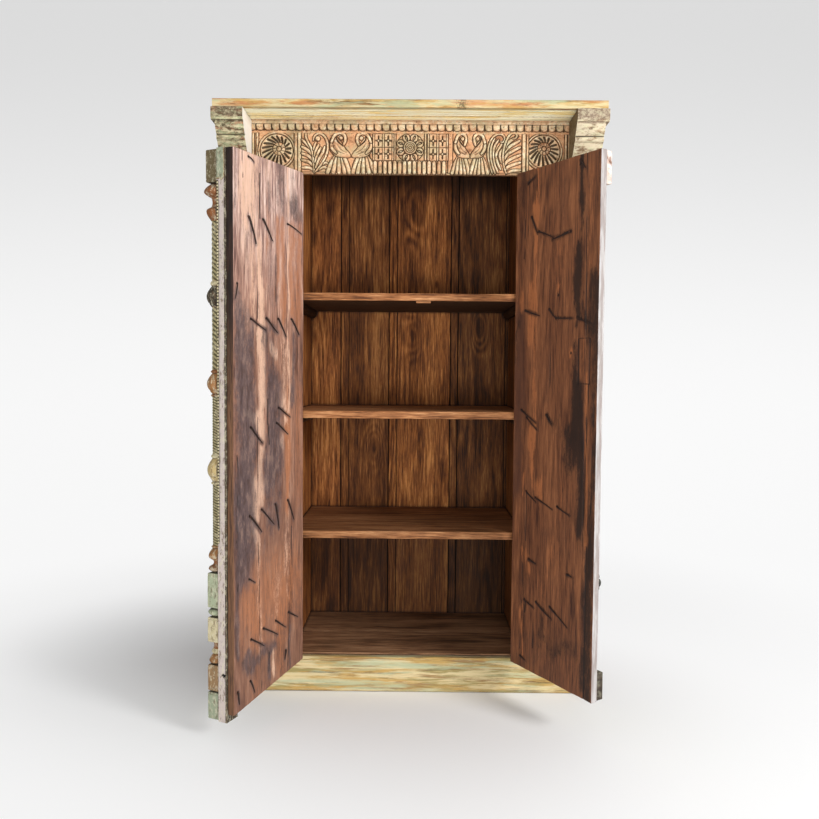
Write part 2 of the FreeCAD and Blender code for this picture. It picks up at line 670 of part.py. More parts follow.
def leaf_plank(u0, u1, top_drop, bottom_drop):
    points = [
        (u0, edge_line(LEAF_BOTTOM, bottom_drop, u0)),
        (u1, edge_line(LEAF_BOTTOM, bottom_drop, u1)),
        (u1, edge_line(LEAF_TOP, top_drop, u1)),
        (u0, edge_line(LEAF_TOP, top_drop, u0)),
    ]
    return outline_y(points, 0, PLANK_THICK)


def leaf_ledge(u0, u1, thick, low, high):
    """Ledge whose low and high edges are (height, drop) pairs, so that it follows the leaf's edge."""
    points = [
        (u0, edge_line(low[0], low[1], u0)),
        (u1, edge_line(low[0], low[1], u1)),
        (u1, edge_line(high[0], high[1], u1)),
        (u0, edge_line(high[0], high[1], u0)),
    ]
    return outline_y(points, -thick, 0)


def leaf_batten(centre, u0, u1):
    half = BATTEN_HEIGHT / 2
    points = [
        (0, centre - half),
        (0, centre + half),
        (BATTEN_CHAMFER - BATTEN_THICK, centre + half),
        (-BATTEN_THICK, centre + half - BATTEN_CHAMFER),
        (-BATTEN_THICK, centre - half + BATTEN_CHAMFER),
        (BATTEN_CHAMFER - BATTEN_THICK, centre - half),
    ]
    return profile_x(points, u0, u1)


def clenched_nail(u, z, carrier_thick, tail_angle, tail_length):
    """Forged nail driven from outside, with its tail bent over flat on the planks' inner face."""
    half = NAIL_SIDE / 2
    shank = box(u - half, u + half, -carrier_thick, PLANK_THICK + NAIL_TAIL_THICK, z - half, z + half)
    big = NAIL_HEAD_SIDE
    small = NAIL_HEAD_SIDE / 2
    head_y = -carrier_thick
    outer = face_square(u, head_y - NAIL_HEAD_THICK, z, small)
    inner = face_square(u, head_y, z, big)
    head = Part.makeLoft([outer, inner], True, True)
    tip = NAIL_TAIL_TIP / 2
    tail = outline_y(
        [(u, z - half), (u + tail_length, z - tip), (u + tail_length, z + tip), (u, z + half)],
        PLANK_THICK,
        PLANK_THICK + NAIL_TAIL_THICK,
    )
    tail.rotate(V(u, 0, z), V(0, -1, 0), tail_angle)
    return shank.fuse([head, tail]).removeSplitter()


def face_square(x, y, z, side):
    half = side / 2
    signs = ((-1, -1), (1, -1), (1, 1), (-1, 1), (-1, -1))
    return Part.makePolygon([V(x + half * across, y, z + half * upward) for across, upward in signs])


def leaf_nails(table, top_z, low_z):
    """All nails of a leaf: one row on each batten and each ledge."""
    carriers = [(centre, BATTEN_THICK) for centre in BATTEN_CENTRES]
    carriers += [(top_z, TOP_LEDGE_THICK), (low_z, BOTTOM_LEDGE_THICK)]
    nails = []
    for row, (centre, thick) in zip(table, carriers):
        for share, lift, angle, length in row:
            nails.append(clenched_nail(share * LEAD_U, centre + lift, thick, angle, length))
    return nails


# ---------------------------------------------------------------- astragal of the left leaf
def astragal_span():
    top = edge_line(LEAF_TOP, LEFT_TOP_DROP, LEAD_U)
    bottom = edge_line(LEAF_BOTTOM, LEFT_BOTTOM_DROP, LEAD_U) - ASTRAGAL_DROP
    return bottom, top


def astragal_board():
    """Cover strip whose lip laps over the other leaf; the lip's back is eased so that it clears it."""
    bottom, top = astragal_span()
    board = box(LIP_U - ASTRAGAL_WIDTH, LIP_U, -ASTRAGAL_THICK, 0, bottom, top)
    ease = box(LEAD_U, LIP_U + FUSE_DEPTH, -ASTRAGAL_CLEARANCE, FUSE_DEPTH, bottom, top)
    return board.cut(ease)


def column_turnings(length):
    """All turnings from the top down, with the shafts scaled so that the column fills its length."""
    turnings = list(COLUMN_CAPITAL)
    for bay in COLUMN_BAYS:
        turnings += list(bay)
    turnings += list(COLUMN_PEDESTAL) + list(COLUMN_FOOT)
    shafts = sum(height for kind, height in turnings if kind == "shaft")
    others = sum(height for kind, height in turnings if kind != "shaft")
    scale = (length - others) / shafts
    return [(kind, height * scale if kind == "shaft" else height) for kind, height in turnings]


def turned_points(kind, z0, z1):
    """(radius, z) points of one turning from z0 down towards z1: a shaft, or a bulge or waist."""
    if kind not in TURNING_SHAPES:
        return [(SHAFT_RADIUS, z0)]
    crest, crest_share = TURNING_SHAPES[kind]
    points = []
    for step in range(TURNING_STEPS):
        share = step / TURNING_STEPS
        if share < crest_share:
            phase = share / crest_share
        else:
            phase = (1 - share) / (1 - crest_share)
        swell = math.sin(phase * math.pi / 2)
        points.append((SHAFT_RADIUS + (crest - SHAFT_RADIUS) * swell, z0 + (z1 - z0) * share))
    return points


def column_block(axis_u, face_v, z0, z1):
    """Square block with chamfered corners, a little shorter than its run so that joints show."""
    half = BLOCK_WIDTH / 2
    chamfer = BLOCK_CHAMFER
    out = face_v - BLOCK_PROUD
    low = z0 + BLOCK_JOINT_STEP
    high = z1 - BLOCK_JOINT_STEP
    points = [
        V(axis_u - half, face_v, low),
        V(axis_u - half, out + chamfer, low),
        V(axis_u - half + chamfer, out, low),
        V(axis_u + half - chamfer, out, low),
        V(axis_u + half, out + chamfer, low),
        V(axis_u + half, face_v, low),
    ]
    return prism(points, V(0, 0, high - low))


def astragal_column():
    """Carved column on the cover strip: beads, domes and necks round one axis, blocks and a spine."""
    bottom, top = astragal_span()
    axis_u = LIP_U - ASTRAGAL_WIDTH / 2
    face_v = -ASTRAGAL_THICK
    axis_v = face_v - COLUMN_AXIS_OUT
    outline = []
    blocks = [box(axis_u - SPINE_WIDTH / 2, axis_u + SPINE_WIDTH / 2, axis_v, face_v, bottom, top)]
    z = top
    for kind, height in column_turnings(top - bottom):
        outline += turned_points(kind, z, z - height)
        if kind == "block":
            blocks.append(column_block(axis_u, face_v, z - height, z))
        z -= height
    turned = carved_round(outline + [(SHAFT_RADIUS, z)], COLUMN_SIDES)
    turned.translate(V(axis_u, axis_v, 0))
    reach = BLOCK_WIDTH + BLOCK_PROUD
    turned = turned.common(box(axis_u - reach, axis_u + reach, face_v - reach, face_v, bottom, top))
    return turned.fuse(blocks).removeSplitter()


# ---------------------------------------------------------------- ironwork
def pin_space(z0, z1, radius):
    return Part.makeCylinder(radius, z1 - z0, V(0, -AXIS_PROUD, z0), Z_AXIS)


def hinge_half(centre, z0, z1):
    """Plate lying on y = 0 with one knuckle on the axis, joined to it by a web from z0 to z1."""
    low = centre - HINGE_LENGTH / 2
    plate = box(AXIS_PROUD, HINGE_PLATE_WIDTH, -HINGE_PLATE_THICK, 0, low, low + HINGE_LENGTH)
    web = box(0, AXIS_PROUD + FUSE_DEPTH, -HINGE_PLATE_THICK, 0, z0, z1)
    barrel = carved_round([(KNUCKLE_RADIUS, z1), (KNUCKLE_RADIUS, z0)], KNUCKLE_SIDES)
    barrel.translate(V(0, -AXIS_PROUD, 0))
    return plate.fuse([web, barrel])


def hinge_pintle(centre):
    """Frame half: the lower knuckle carries a fixed pin that stands up through the leaf's eye."""
    low = centre - HINGE_LENGTH / 2
    half = hinge_half(centre, low, centre - KNUCKLE_CLEARANCE)
    pin = pin_space(centre - HINGE_LENGTH / 4, low + HINGE_LENGTH, PIN_RADIUS - PIN_CLEARANCE)
    return half.fuse(pin).removeSplitter()


def hinge_eye(centre):
    """Leaf half: the upper knuckle is an eye that drops over the pin."""
    high = centre + HINGE_LENGTH / 2
    half = hinge_half(centre, centre + KNUCKLE_CLEARANCE, high)
    return half.cut(pin_space(centre, high, PIN_RADIUS)).removeSplitter()


def place_on_frame(shape, side):
    """Put a right-hand frame fitting on its side of the opening."""
    placed = shape.copy()
    placed.translate(V(HALF_OPENING, FRONT, 0))
    return placed if side > 0 else mirrored(placed)


def boss():
    """Carved flower boss on the right leaf: a low faceted dome with pointed petals round it."""
    u = LEAD_U - BOSS_EDGE_GAP - BOSS_RADIUS
    outline = []
    for step in range(BOSS_STEPS):
        angle = math.pi / 2 * step / BOSS_STEPS
        outline.append((BOSS_RADIUS * BOSS_DOME_SHARE * math.cos(angle), BOSS_PROUD * math.sin(angle)))
    outline.append((BOSS_CROWN_RADIUS, BOSS_PROUD))
    dome = carved_round(outline, COLUMN_SIDES)
    dome.rotate(V(0, 0, 0), V(1, 0, 0), 90)
    petals = []
    for index in range(BOSS_PETALS):
        angle = 2 * math.pi * index / BOSS_PETALS
        spread = math.pi / BOSS_PETALS
        points = [(0, 0)]
        for turn, share in ((-spread, BOSS_PETAL_WAIST), (0, 1), (spread, BOSS_PETAL_WAIST)):
            reach = BOSS_RADIUS * share
            points.append((reach * math.cos(angle + turn), reach * math.sin(angle + turn)))
        petals.append(outline_y(points, -BOSS_PROUD * BOSS_PETAL_PROUD, 0))
    flower = dome.multiFuse(petals).removeSplitter()
    flower.translate(V(u, 0, BOSS_CENTRE_Z))
    return flower


# ---------------------------------------------------------------- assembly
def carcass_nodes():
    nodes = {"base_rail": base_rail(), "top_board": top_board(), "catch_block": catch_block()}
    nodes["floor_board_front"], nodes["floor_board_rear"] = floor_boards()
    for number, top in enumerate(SHELF_TOPS, 1):
        nodes["shelf_" + str(number)] = shelf(top)
    for number, board in enumerate(back_boards(), 1):
        nodes["back_board_" + str(number)] = board
    nodes["cornice_fascia"] = cornice_fascia()
    nodes["soffit_moulding"] = soffit_moulding()
    nodes["frieze_board"] = frieze_board()
    cleats = group([shelf_cleat(top) for top in SHELF_TOPS])
    pintles = group([hinge_pintle(centre) for centre in HINGE_CENTRES])
    pairs = {"side_panel": side_panel(), "inner_wall": inner_wall(), "shelf_cleats": cleats}
    pairs.update({"corbel": corbel(), "pilaster": pilaster(), "jamb_board": jamb()})
    for name, shape in pairs.items():
        nodes[name + "_right"] = shape
        nodes[name + "_left"] = mirrored(shape)
    for side, word in ((-1, "left"), (1, "right")):
        nodes["hinge_pintles_" + word] = place_on_frame(pintles, side)
    return nodes


def leaf_nodes(side):
    left = side < 0
    word = "left" if left else "right"
    top_drop = LEFT_TOP_DROP if left else RIGHT_TOP_DROP
    bottom_drop = LEFT_BOTTOM_DROP if left else RIGHT_BOTTOM_DROP
    joint = LEAD_U * (LEFT_PLANK_JOINT if left else RIGHT_PLANK_JOINT)
    ledge_end = LIP_U - ASTRAGAL_WIDTH if left else LEAD_U - RIGHT_LEDGE_END_GAP
    batten_end = ledge_end if left else LEAD_U - RIGHT_BATTEN_END_GAP
    table = LEFT_NAILS if left else RIGHT_NAILS
    u0 = LEDGE_HINGE_MARGIN
    nodes = {
        "plank_hinge_side": leaf_plank(HINGE_EDGE_GAP, joint, top_drop, bottom_drop),
        "plank_lead_side": leaf_plank(joint, LEAD_U, top_drop, bottom_drop),
        "top_ledge": leaf_ledge(
            u0, ledge_end, TOP_LEDGE_THICK, (LEAF_TOP - TOP_LEDGE_HEIGHT, top_drop), (LEAF_TOP, top_drop)
        ),
        "bottom_ledge": leaf_ledge(
            u0,
            ledge_end,
            BOTTOM_LEDGE_THICK,
            (LEAF_BOTTOM, bottom_drop),
            (LEAF_BOTTOM + BOTTOM_LEDGE_HEIGHT, bottom_drop),
        ),
    }
    for number, centre in enumerate(BATTEN_CENTRES, 1):
        nodes["batten_" + str(number)] = leaf_batten(centre, u0, batten_end)
    top_z = LEAF_TOP - (TOP_LEDGE_HEIGHT + top_drop) / 2
    low_z = LEAF_BOTTOM + (BOTTOM_LEDGE_HEIGHT - bottom_drop) / 2
    nodes["nails"] = group(leaf_nails(table, top_z, low_z))
    nodes["hinge_eyes"] = group([hinge_eye(centre) for centre in HINGE_CENTRES])
    if left:
        nodes["astragal_board"] = astragal_board()
        nodes["astragal_column"] = astragal_column()
    else:
        nodes["boss"] = boss()
    return {word + "_leaf_" + name: place_leaf(shape, side) for name, shape in nodes.items()}


def main():
    os.makedirs("parts", exist_ok=True)
    nodes = carcass_nodes()
    nodes.update(leaf_nodes(-1))
    nodes.update(leaf_nodes(1))
    for name, shape in nodes.items():
        save(name, shape)


main()
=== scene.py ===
"""Looks of the old two-leaf cupboard: carved frieze, column, worn boards, nails and paint round the CAD frame.

Everything is in metres in the frame's own axes: +X right, +Y into the cupboard, +Z up. Sizes in the tables
are in millimetres. Leaf pieces are drawn in leaf coordinates: u from the hinge axis to the leading edge, v from
the planks' outer face inwards, and z up.
"""

import math
import random

import bpy
import numpy as np
from mathutils import Matrix, Vector


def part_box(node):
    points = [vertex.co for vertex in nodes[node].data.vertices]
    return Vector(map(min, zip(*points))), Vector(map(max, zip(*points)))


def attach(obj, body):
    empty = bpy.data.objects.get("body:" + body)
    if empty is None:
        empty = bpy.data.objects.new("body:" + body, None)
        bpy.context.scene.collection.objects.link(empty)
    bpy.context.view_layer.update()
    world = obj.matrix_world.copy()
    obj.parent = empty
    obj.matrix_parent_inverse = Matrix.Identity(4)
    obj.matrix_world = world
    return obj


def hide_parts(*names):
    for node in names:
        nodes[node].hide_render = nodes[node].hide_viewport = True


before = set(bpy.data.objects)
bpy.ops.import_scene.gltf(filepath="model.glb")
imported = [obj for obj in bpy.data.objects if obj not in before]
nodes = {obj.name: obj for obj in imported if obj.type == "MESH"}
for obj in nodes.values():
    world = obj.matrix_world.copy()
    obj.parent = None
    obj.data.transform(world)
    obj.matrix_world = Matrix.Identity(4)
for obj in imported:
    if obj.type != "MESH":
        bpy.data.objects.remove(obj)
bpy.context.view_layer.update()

MM = 0.001
# Door frame: half its opening, its front and back faces, and the hinge pins' line.
HALF_OPENING, FRONT, STOP_Y, AXIS_Y = 352.0, -40.0, -11.0, -47.0
# Leaves: plank thickness, first and last u of the planks, the astragal's lip, and the heights at the hinge side.
PLANK, PLANK_U, LEAD_U, LIP_U = 23.0, 1.5, 350.5, 354.5
LEAF_TOP, LEAF_BOTTOM = 1643.0, 124.0
# By side: -1 is left, 1 is right.
SIDE_WORD = {-1: "left", 1: "right"}
TOP_DROP = {-1: 10.0, 1: 3.0}
BOTTOM_DROP = {-1: 46.0, 1: 9.0}
OPEN = {-1: -114.5, 1: 123.0}
JOINT_U = {-1: 225.0, 1: 303.0}


# ---------------------------------------------------------------- numbers
def hashed(ix, iy, seed):
    value = np.sin(ix * 127.1 + iy * 311.7 + seed * 53.9) * 43758.5453
    return value - np.floor(value)


def value_noise(x, y, seed):
    """Smooth noise from 0 to 1 with features one unit apart."""
    x, y = np.broadcast_arrays(np.asarray(x, float), y)
    ix, iy = np.floor(x), np.floor(y)
    fx, fy = (f * f * (3 - 2 * f) for f in (x - ix, y - iy))
    total = 0
    for dx in (0, 1):
        for dy in (0, 1):
            weight = (fx if dx else 1 - fx) * (fy if dy else 1 - fy)
            total = total + weight * hashed(ix + dx, iy + dy, seed)
    return total


def layered_noise(x, y, seed, layers=3):
    """Value noise with finer layers of half the strength on top."""
    total, size, reach = 0, 1.0, 0
    for layer in range(layers):
        total = total + value_noise(x * 2 ** layer, y * 2 ** layer, seed + layer) * size
        reach += size
        size *= 0.5
    return total / reach


def smooth(value, low, high):
    """Soft step from 0 at low to 1 at high."""
    share = np.clip((value - low) / (high - low), 0, 1)
    return share * share * (3 - 2 * share)


def line_gap(x, z, x0, z0, x1, z1, squash=1.0):
    """Distance to a line, with heights counted at squash times their size."""
    run_x, run_z = x1 - x0, (z1 - z0) * squash
    up = (z - z0) * squash
    t = np.clip(((x - x0) * run_x + up * run_z) / max(run_x ** 2 + run_z ** 2, 1e-9), 0, 1)
    return np.hypot(x - x0 - t * run_x, up - t * run_z)


def spline(points, count):
    """Catmull-Rom curve through points."""
    knots = np.array([points[0]] + list(points) + [points[-1]], float)
    result = []
    for t in np.linspace(0, len(points) - 1 - 1e-9, count):
        i = int(t)
        f = t - i
        a, b, c, d = knots[i:i + 4]
        result.append(0.5 * (2 * b + (c - a) * f + (2 * a - 5 * b + 4 * c - d) * f * f
                             + (3 * b - a - 3 * c + d) * f ** 3))
    return np.array(result)


def marks(low, high, step, edge=3.0):
    """Grid lines from low to high, closer together at both ends."""
    ends = [0, 0.25 * edge, 0.6 * edge, edge]
    middle = np.arange(low + edge, high - edge, step)[1:]
    return np.unique(np.concatenate([[low + e for e in ends], middle, [high - e for e in ends]]))


# ---------------------------------------------------------------- placing
def leaf_matrix(side):
    """Leaf coordinates in metres to the world, at rest."""
    flip = Matrix.Diagonal((-side, 1, 1, 1))
    closed = Matrix.Translation((side * HALF_OPENING * MM, FRONT * MM, 0)) @ flip
    axis = Vector((side * HALF_OPENING * MM, AXIS_Y * MM, 0))
    turn = Matrix.Rotation(math.radians(OPEN[side]), 4, "Z")
    return Matrix.Translation(axis) @ turn @ Matrix.Translation(-axis) @ closed


def edge_line(start, drop, u):
    """Height at u of an edge that starts at the hinge side and drops towards the leading edge."""
    return start - drop * (u - PLANK_U) / (LEAD_U - PLANK_U)


def place_object(name, data):
    obj = bpy.data.objects.new(name, data)
    bpy.context.scene.collection.objects.link(obj)
    return obj


def make_mesh(name, points, faces, attributes=None):
    """Smooth-shaded mesh object from points in millimetres, with a number per point for each attribute."""
    mesh = bpy.data.meshes.new(name)
    mesh.from_pydata((np.asarray(points, float) * MM).tolist(), [], faces)
    for key, values in (attributes or {}).items():
        layer = mesh.attributes.new(key, "FLOAT", "POINT")
        layer.data.foreach_set("value", np.asarray(values, np.float32).ravel())
    mesh.validate()
    mesh.polygons.foreach_set("use_smooth", [True] * len(mesh.polygons))
    mesh.update()
    return place_object(name, mesh)


def dress(obj, material):
    obj.data.materials.clear()
    obj.data.materials.append(material)


def mount(obj, body, material, replaced=(), matrix=None):
    """Put a finished piece on its body, with its material, and hide the nodes that it stands for."""
    if matrix is not None:
        obj.matrix_world = matrix
        if matrix.determinant() < 0:
            obj.data.flip_normals()
    dress(obj, material)
    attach(obj, body)
    if replaced:
        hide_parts(*replaced)


def crease(obj, degrees=38):
    """Sharp shading only where faces meet at more than this angle."""
    obj.data.set_sharp_from_angle(angle=math.radians(degrees))
    return obj


def block_surface(*lines):
    """Closed surface of a box divided at the marks along x, y and z: points (N, 3) and faces."""
    points, index, faces = [], {}, []
    last = [len(line) - 1 for line in lines]

    def corner(place):
        if place not in index:
            index[place] = len(points)
            points.append([line[i] for line, i in zip(lines, place)])
        return index[place]

    for axis in (2, 1, 0):
        p, q = (i for i in range(3) if i != axis)
        for end in (0, last[axis]):
            inward = (end == 0) == (axis != 1)
            for i in range(last[p]):
                for j in range(last[q]):
                    places = ((i, j), (i + 1, j), (i + 1, j + 1), (i, j + 1))
                    quad = tuple(corner(place[:axis] + (end,) + place[axis:]) for place in places)
                    faces.append(quad[::-1] if inward else quad)
    return np.array(points), faces


def box_surface(low, high, steps):
    """Closed surface of a box from its low to its high corner, divided at about these steps."""
    return block_surface(*(marks(*span) for span in zip(low, high, steps)))


def tube(sides, rings, caps=2, flip=False):
    """Faces of rings of points joined into a tube, with its first cap, both or none."""
    faces = []
    for first in range(0, (rings - 1) * sides, sides):
        for k in range(sides):
            a, b = first + k, first + (k + 1) % sides
            faces.append((a, a + sides, b + sides, b) if flip else (a, b, b + sides, a + sides))
    ends = [tuple(range(sides)), tuple(range((rings - 1) * sides, rings * sides))]
    ends[flip] = ends[flip][::-1]
    return faces + ends[:caps]


def rounded(points, low, high, radius):
    """Points of a box's surface, pulled in so that its edges have this radius."""
    core = np.clip(points, np.add(low, radius), np.subtract(high, radius))
    away = points - core
    length = np.linalg.norm(away, axis=1, keepdims=True)
    length[length == 0] = 1
    return core + away / length * np.abs(away).max(axis=1, keepdims=True)


# ---------------------------------------------------------------- node graphs
def colour(tone):
    """Scene colour of a screen colour with parts from 0 to 255."""
    shares = (value / 255 for value in tone)
    return (*(s / 12.92 if s <= 0.04045 else ((s + 0.055) / 1.055) ** 2.4 for s in shares), 1)


def dimmed(tone, share):
    return tuple(value * share for value in tone)


class Graph:
    """One material's node tree, with short calls for the nodes that it needs. Tones are screen colours."""

    def __init__(self, name):
        self.material = bpy.data.materials.new(name)
        self.material.use_nodes = True
        self.tree = self.material.node_tree
        self.tree.nodes.clear()
        self.output = self.tree.nodes.new("ShaderNodeOutputMaterial")
        self.shader = self.tree.nodes.new("ShaderNodeBsdfPrincipled")
        self.set(self.output.inputs[0], self.shader.outputs[0])
        self.space = self.node("TexCoord", {}, "Object")

    def set(self, socket, value):
        if isinstance(value, bpy.types.NodeSocket):
            self.tree.links.new(value, socket)
        else:
            socket.default_value = value

    def node(self, kind, inputs, out=0, **settings):
        made = self.tree.nodes.new("ShaderNode" + kind)
        for key, value in settings.items():
            setattr(made, key, value)
        for key, value in inputs.items():
            self.set(made.inputs[key], value)
        return made.outputs[out]

    def math(self, operation, *values):
        return self.node("Math", dict(enumerate(values)), operation=operation)

    def vector(self, operation, *values):
        out = "Value" if operation in ("LENGTH", "DISTANCE", "DOT_PRODUCT") else 0
        return self.node("VectorMath", dict(enumerate(values)), out, operation=operation)

    def scaled(self, vector, factors):
        return self.vector("MULTIPLY", vector, factors)

    def moved(self, vector, offset):
        return self.vector("ADD", vector, offset)

    def noise(self, vector, scale, detail=4.0, rough=0.55, warp=0.0, out="Fac"):
        inputs = {"Vector": vector, "Scale": scale, "Detail": detail, "Roughness": rough, "Distortion": warp}
        return self.node("TexNoise", inputs, out)

    def grain(self, vector, stretch, *looks):
        """Noise drawn out along Z."""
        return self.noise(self.scaled(vector, (1, 1, stretch)), *looks)

    def warped(self, vector, scale, amount):
        """Vector pushed about by coloured noise."""
        centred = self.moved(self.noise(vector, scale, 2.0, 0.5, out="Color"), (-0.5,) * 3)
        return self.moved(vector, self.scaled(centred, (amount,) * 3))

    def around(self, value, weight, base):
        """Base, pushed up and down by a noise value round 0.5."""
        return self.math("MULTIPLY_ADD", self.math("SUBTRACT", value, 0.5), weight, base)

    def span(self, value, low, high, to_low=0.0, to_high=1.0):
        inputs = {"Value": value, "From Min": low, "From Max": high, "To Min": to_low, "To Max": to_high}
        return self.node("MapRange", inputs, interpolation_type="SMOOTHSTEP", clamp=True)

    def mix(self, factor, a, b):
        made = self.tree.nodes.new("ShaderNodeMix")
        made.data_type = "RGBA"
        for index, value in ((0, factor), (6, a), (7, b)):
            self.set(made.inputs[index], colour(value) if isinstance(value, tuple) else value)
        return made.outputs[2]

    def lay(self, shade, tone, value, low, high, share=1.0):
        """Shade under a tone that covers nothing where value is low and this share where it is high."""
        return self.mix(self.span(value, low, high, 0.0, share), shade, tone)

    def ramp(self, value, places, tones, between="EASE"):
        made = self.tree.nodes.new("ShaderNodeValToRGB")
        made.color_ramp.interpolation = between
        elements = made.color_ramp.elements
        while len(elements) < len(places):
            elements.new(0.5)
        for element, place, tone in zip(elements, places, tones):
            element.position = place
            element.color = colour(tone)
        self.set(made.inputs[0], value)
        return made.outputs[0]

    def attribute(self, name):
        return self.node("Attribute", {}, "Fac", attribute_name=name)

    def split(self, vector):
        made = self.tree.nodes.new("ShaderNodeSeparateXYZ")
        self.set(made.inputs[0], vector)
        return made.outputs

    def geometry(self, name, axis):
        """X, Y or Z (0, 1 or 2) of the surface's Normal or Position."""
        return self.split(self.node("NewGeometry", {}, name))[axis]

    def hollow(self, distance):
        """1 in the open, less in corners and recesses nearer than distance."""
        return self.node("AmbientOcclusion", {"Distance": distance}, "AO", samples=6)

    def edge(self, radius):
        """1 where an edge is sharper than the radius, 0 on flats."""
        soft = self.node("Bevel", {"Radius": radius}, samples=4)
        hard = self.node("NewGeometry", {}, "Normal")
        return self.span(self.vector("DOT_PRODUCT", soft, hard), 0.995, 0.86)

    def finish(self, shade, rough, height=None, bump=0.3, depth=0.001, specular=0.5, metallic=0.0):
        inputs = self.shader.inputs
        self.set(inputs["Base Color"], shade)
        self.set(inputs["Roughness"], rough)
        inputs["Specular IOR Level"].default_value = specular
        inputs["Metallic"].default_value = metallic
        if height is not None:
            self.set(inputs["Normal"], self.node("Bump", {"Height": height, "Strength": bump, "Distance": depth}))
        return self.material


# ---------------------------------------------------------------- finishes
def turned_space(g, along):
    """Object space with its axes swapped so that the grain runs along Z."""
    x, y, z = g.split(g.space)
    order = {"x": (y, z, x), "y": (x, z, y), "z": (x, y, z)}[along]
    return g.node("CombineXYZ", dict(enumerate(order)))


def wood_figure(g, space, seed, knots=()):
    """(tone, fibre) of grained wood: streaks, a contour figure that bends round knots (x, z, size), fine fibres."""
    place = g.moved(space, (seed * 1.37, seed * 0.71, seed * 2.3))
    field = g.grain(place, 0.13, 6.0, 1.5, 0.5)
    core = 0.0
    for x, z, size in knots:
        gap = g.vector("LENGTH", g.scaled(g.moved(space, (-x, 0.0, -z)), (1, 0, 0.4)))
        field = g.math("ADD", field, g.span(gap, size, 0.0, 0.0, 0.22))
        core = g.math("MAXIMUM", core, g.span(gap, size * 0.28, size * 0.08))
    contour = g.math("SINE", g.math("MULTIPLY", field, 90.0))
    patchy = g.span(g.grain(place, 0.25, 7.0, 2.0), 0.38, 0.62, 0.02, 0.12)
    waver = g.warped(g.scaled(place, (1, 1, 0.3)), 8.0, 0.009)
    broad = g.grain(place, 0.10, 15.0, 4.0, 0.6)
    streak = g.grain(waver, 0.14, 112.0, 4.0, 0.65)
    fibre = g.grain(waver, 0.16, 290.0, 3.0, 0.7)
    tone = g.math("MULTIPLY_ADD", contour, patchy, -1.25)
    for layer, weight in ((broad, 1.1), (streak, 0.8), (fibre, 1.6)):
        tone = g.math("MULTIPLY_ADD", layer, weight, tone)
    return g.math("MULTIPLY_ADD", core, -0.3, tone), fibre


# Heights in metres between which the inward faces grow dark: painted shade near the floor and near the top.
FLOOR_DUSK, TOP_DUSK = (0.53, 0.47), (1.65, 1.74)


def wood(name, along, seed, shades, rough=0.7, dirt=0.5, knots=(), dusk=1.0, under=0.0):
    """Bare or oiled wood. shades run from dark to light; dusk is the share of light colour that inward faces keep
    near the floor and the top, where they get painted shade, and under is the share of painted shade on faces that
    look down."""
    g = Graph(name)
    space = turned_space(g, along)
    tone, fibre = wood_figure(g, space, seed, knots)
    shade = g.ramp(tone, (0.16, 0.4, 0.6, 0.84), shades)
    deepest = shades[0]
    black = dimmed(deepest, 0.45)
    pores = g.span(g.grain(space, 0.05, 560.0, 2.0), 0.56, 0.72)
    shade = g.mix(g.math("MULTIPLY", pores, 0.4), shade, black)
    stain = g.grain(g.moved(space, (seed, 3, 1)), 0.35, 7.0, 5.0, 0.6)
    shade = g.mix(g.math("MULTIPLY", g.span(stain, 0.52, 0.74), dirt), shade, dimmed(deepest, 0.8))
    # Painted shade in recesses and corners, where occlusion finds them.
    shade = g.lay(shade, black, g.hollow(0.013), 0.9, 0.35, 0.95)
    # Painted shade: inward faces darker near the floor and near the top.
    if dusk < 1:
        height = g.split(g.space)[2]
        floor = g.span(height, *FLOOR_DUSK, 0.0, 1 - dusk)
        dim = g.math("MAXIMUM", floor, g.span(height, *TOP_DUSK, 0.0, 1.2 * (1 - dusk)))
        inside = g.span(g.geometry("Normal", 1), -0.4, -0.6)
        shade = g.mix(g.math("MULTIPLY", dim, inside), shade, dimmed(deepest, 0.6))
        # Painted shade in the gaps between boards and in their scratched lines.
        shade = g.lay(shade, dimmed(deepest, 0.2), g.attribute("seam_shade"), 0.1, 0.8, 0.95)
    # Painted shade on faces that look down.
    if under:
        shade = g.lay(shade, black, g.geometry("Normal", 2), -0.5, -0.9, under)
    return g.finish(shade, g.span(fibre, 0.3, 0.7, rough - 0.1, rough + 0.15), g.math("SUBTRACT", fibre, pores), 0.3,
                    0.0006, specular=0.18)


def worn_paint(g, space, seed, base, coats, bare, streak=0.3, edges=0.7, dirt=0.6):
    """Coats (tone, cover, patch size, opacity) over wood, rubbed on edges, and darkened in recesses by grime and
    painted shade: (shade, height).
    """
    tone = wood_figure(g, space, seed)[0]
    shade = g.ramp(tone, (0.25, 0.7), (dimmed(base, 0.6), base))
    height = 0.0
    for number, (coat, cover, size, opacity) in enumerate(coats):
        place = g.moved(space, (seed + number * 3.1, number * 1.7, seed * 0.37))
        patch = g.grain(place, streak, 1 / size, 8.0, 0.7, 0.2)
        level = 0.5 + (0.5 - cover) * 0.36
        mask = g.span(patch, level - 0.06, level + 0.06)
        shade = g.mix(g.math("MULTIPLY", mask, opacity), shade, coat)
        height = g.math("MULTIPLY_ADD", mask, 0.5, height)
    fine = g.grain(space, streak, 150.0, 5.0, 0.7)
    rub = g.math("MULTIPLY", g.edge(0.003), g.span(fine, 0.35, 0.6))
    shade = g.mix(g.math("MULTIPLY", rub, edges), shade, bare)
    shade = g.lay(shade, dimmed(base, 0.55), fine, 0.44, 0.30, 0.5)
    # Grime and painted shade in recesses, where occlusion finds them.
    shade = g.lay(shade, (58, 44, 28), g.hollow(0.012), 0.9, 0.3, dirt)
    return shade, g.math("MULTIPLY_ADD", fine, 0.8, height)


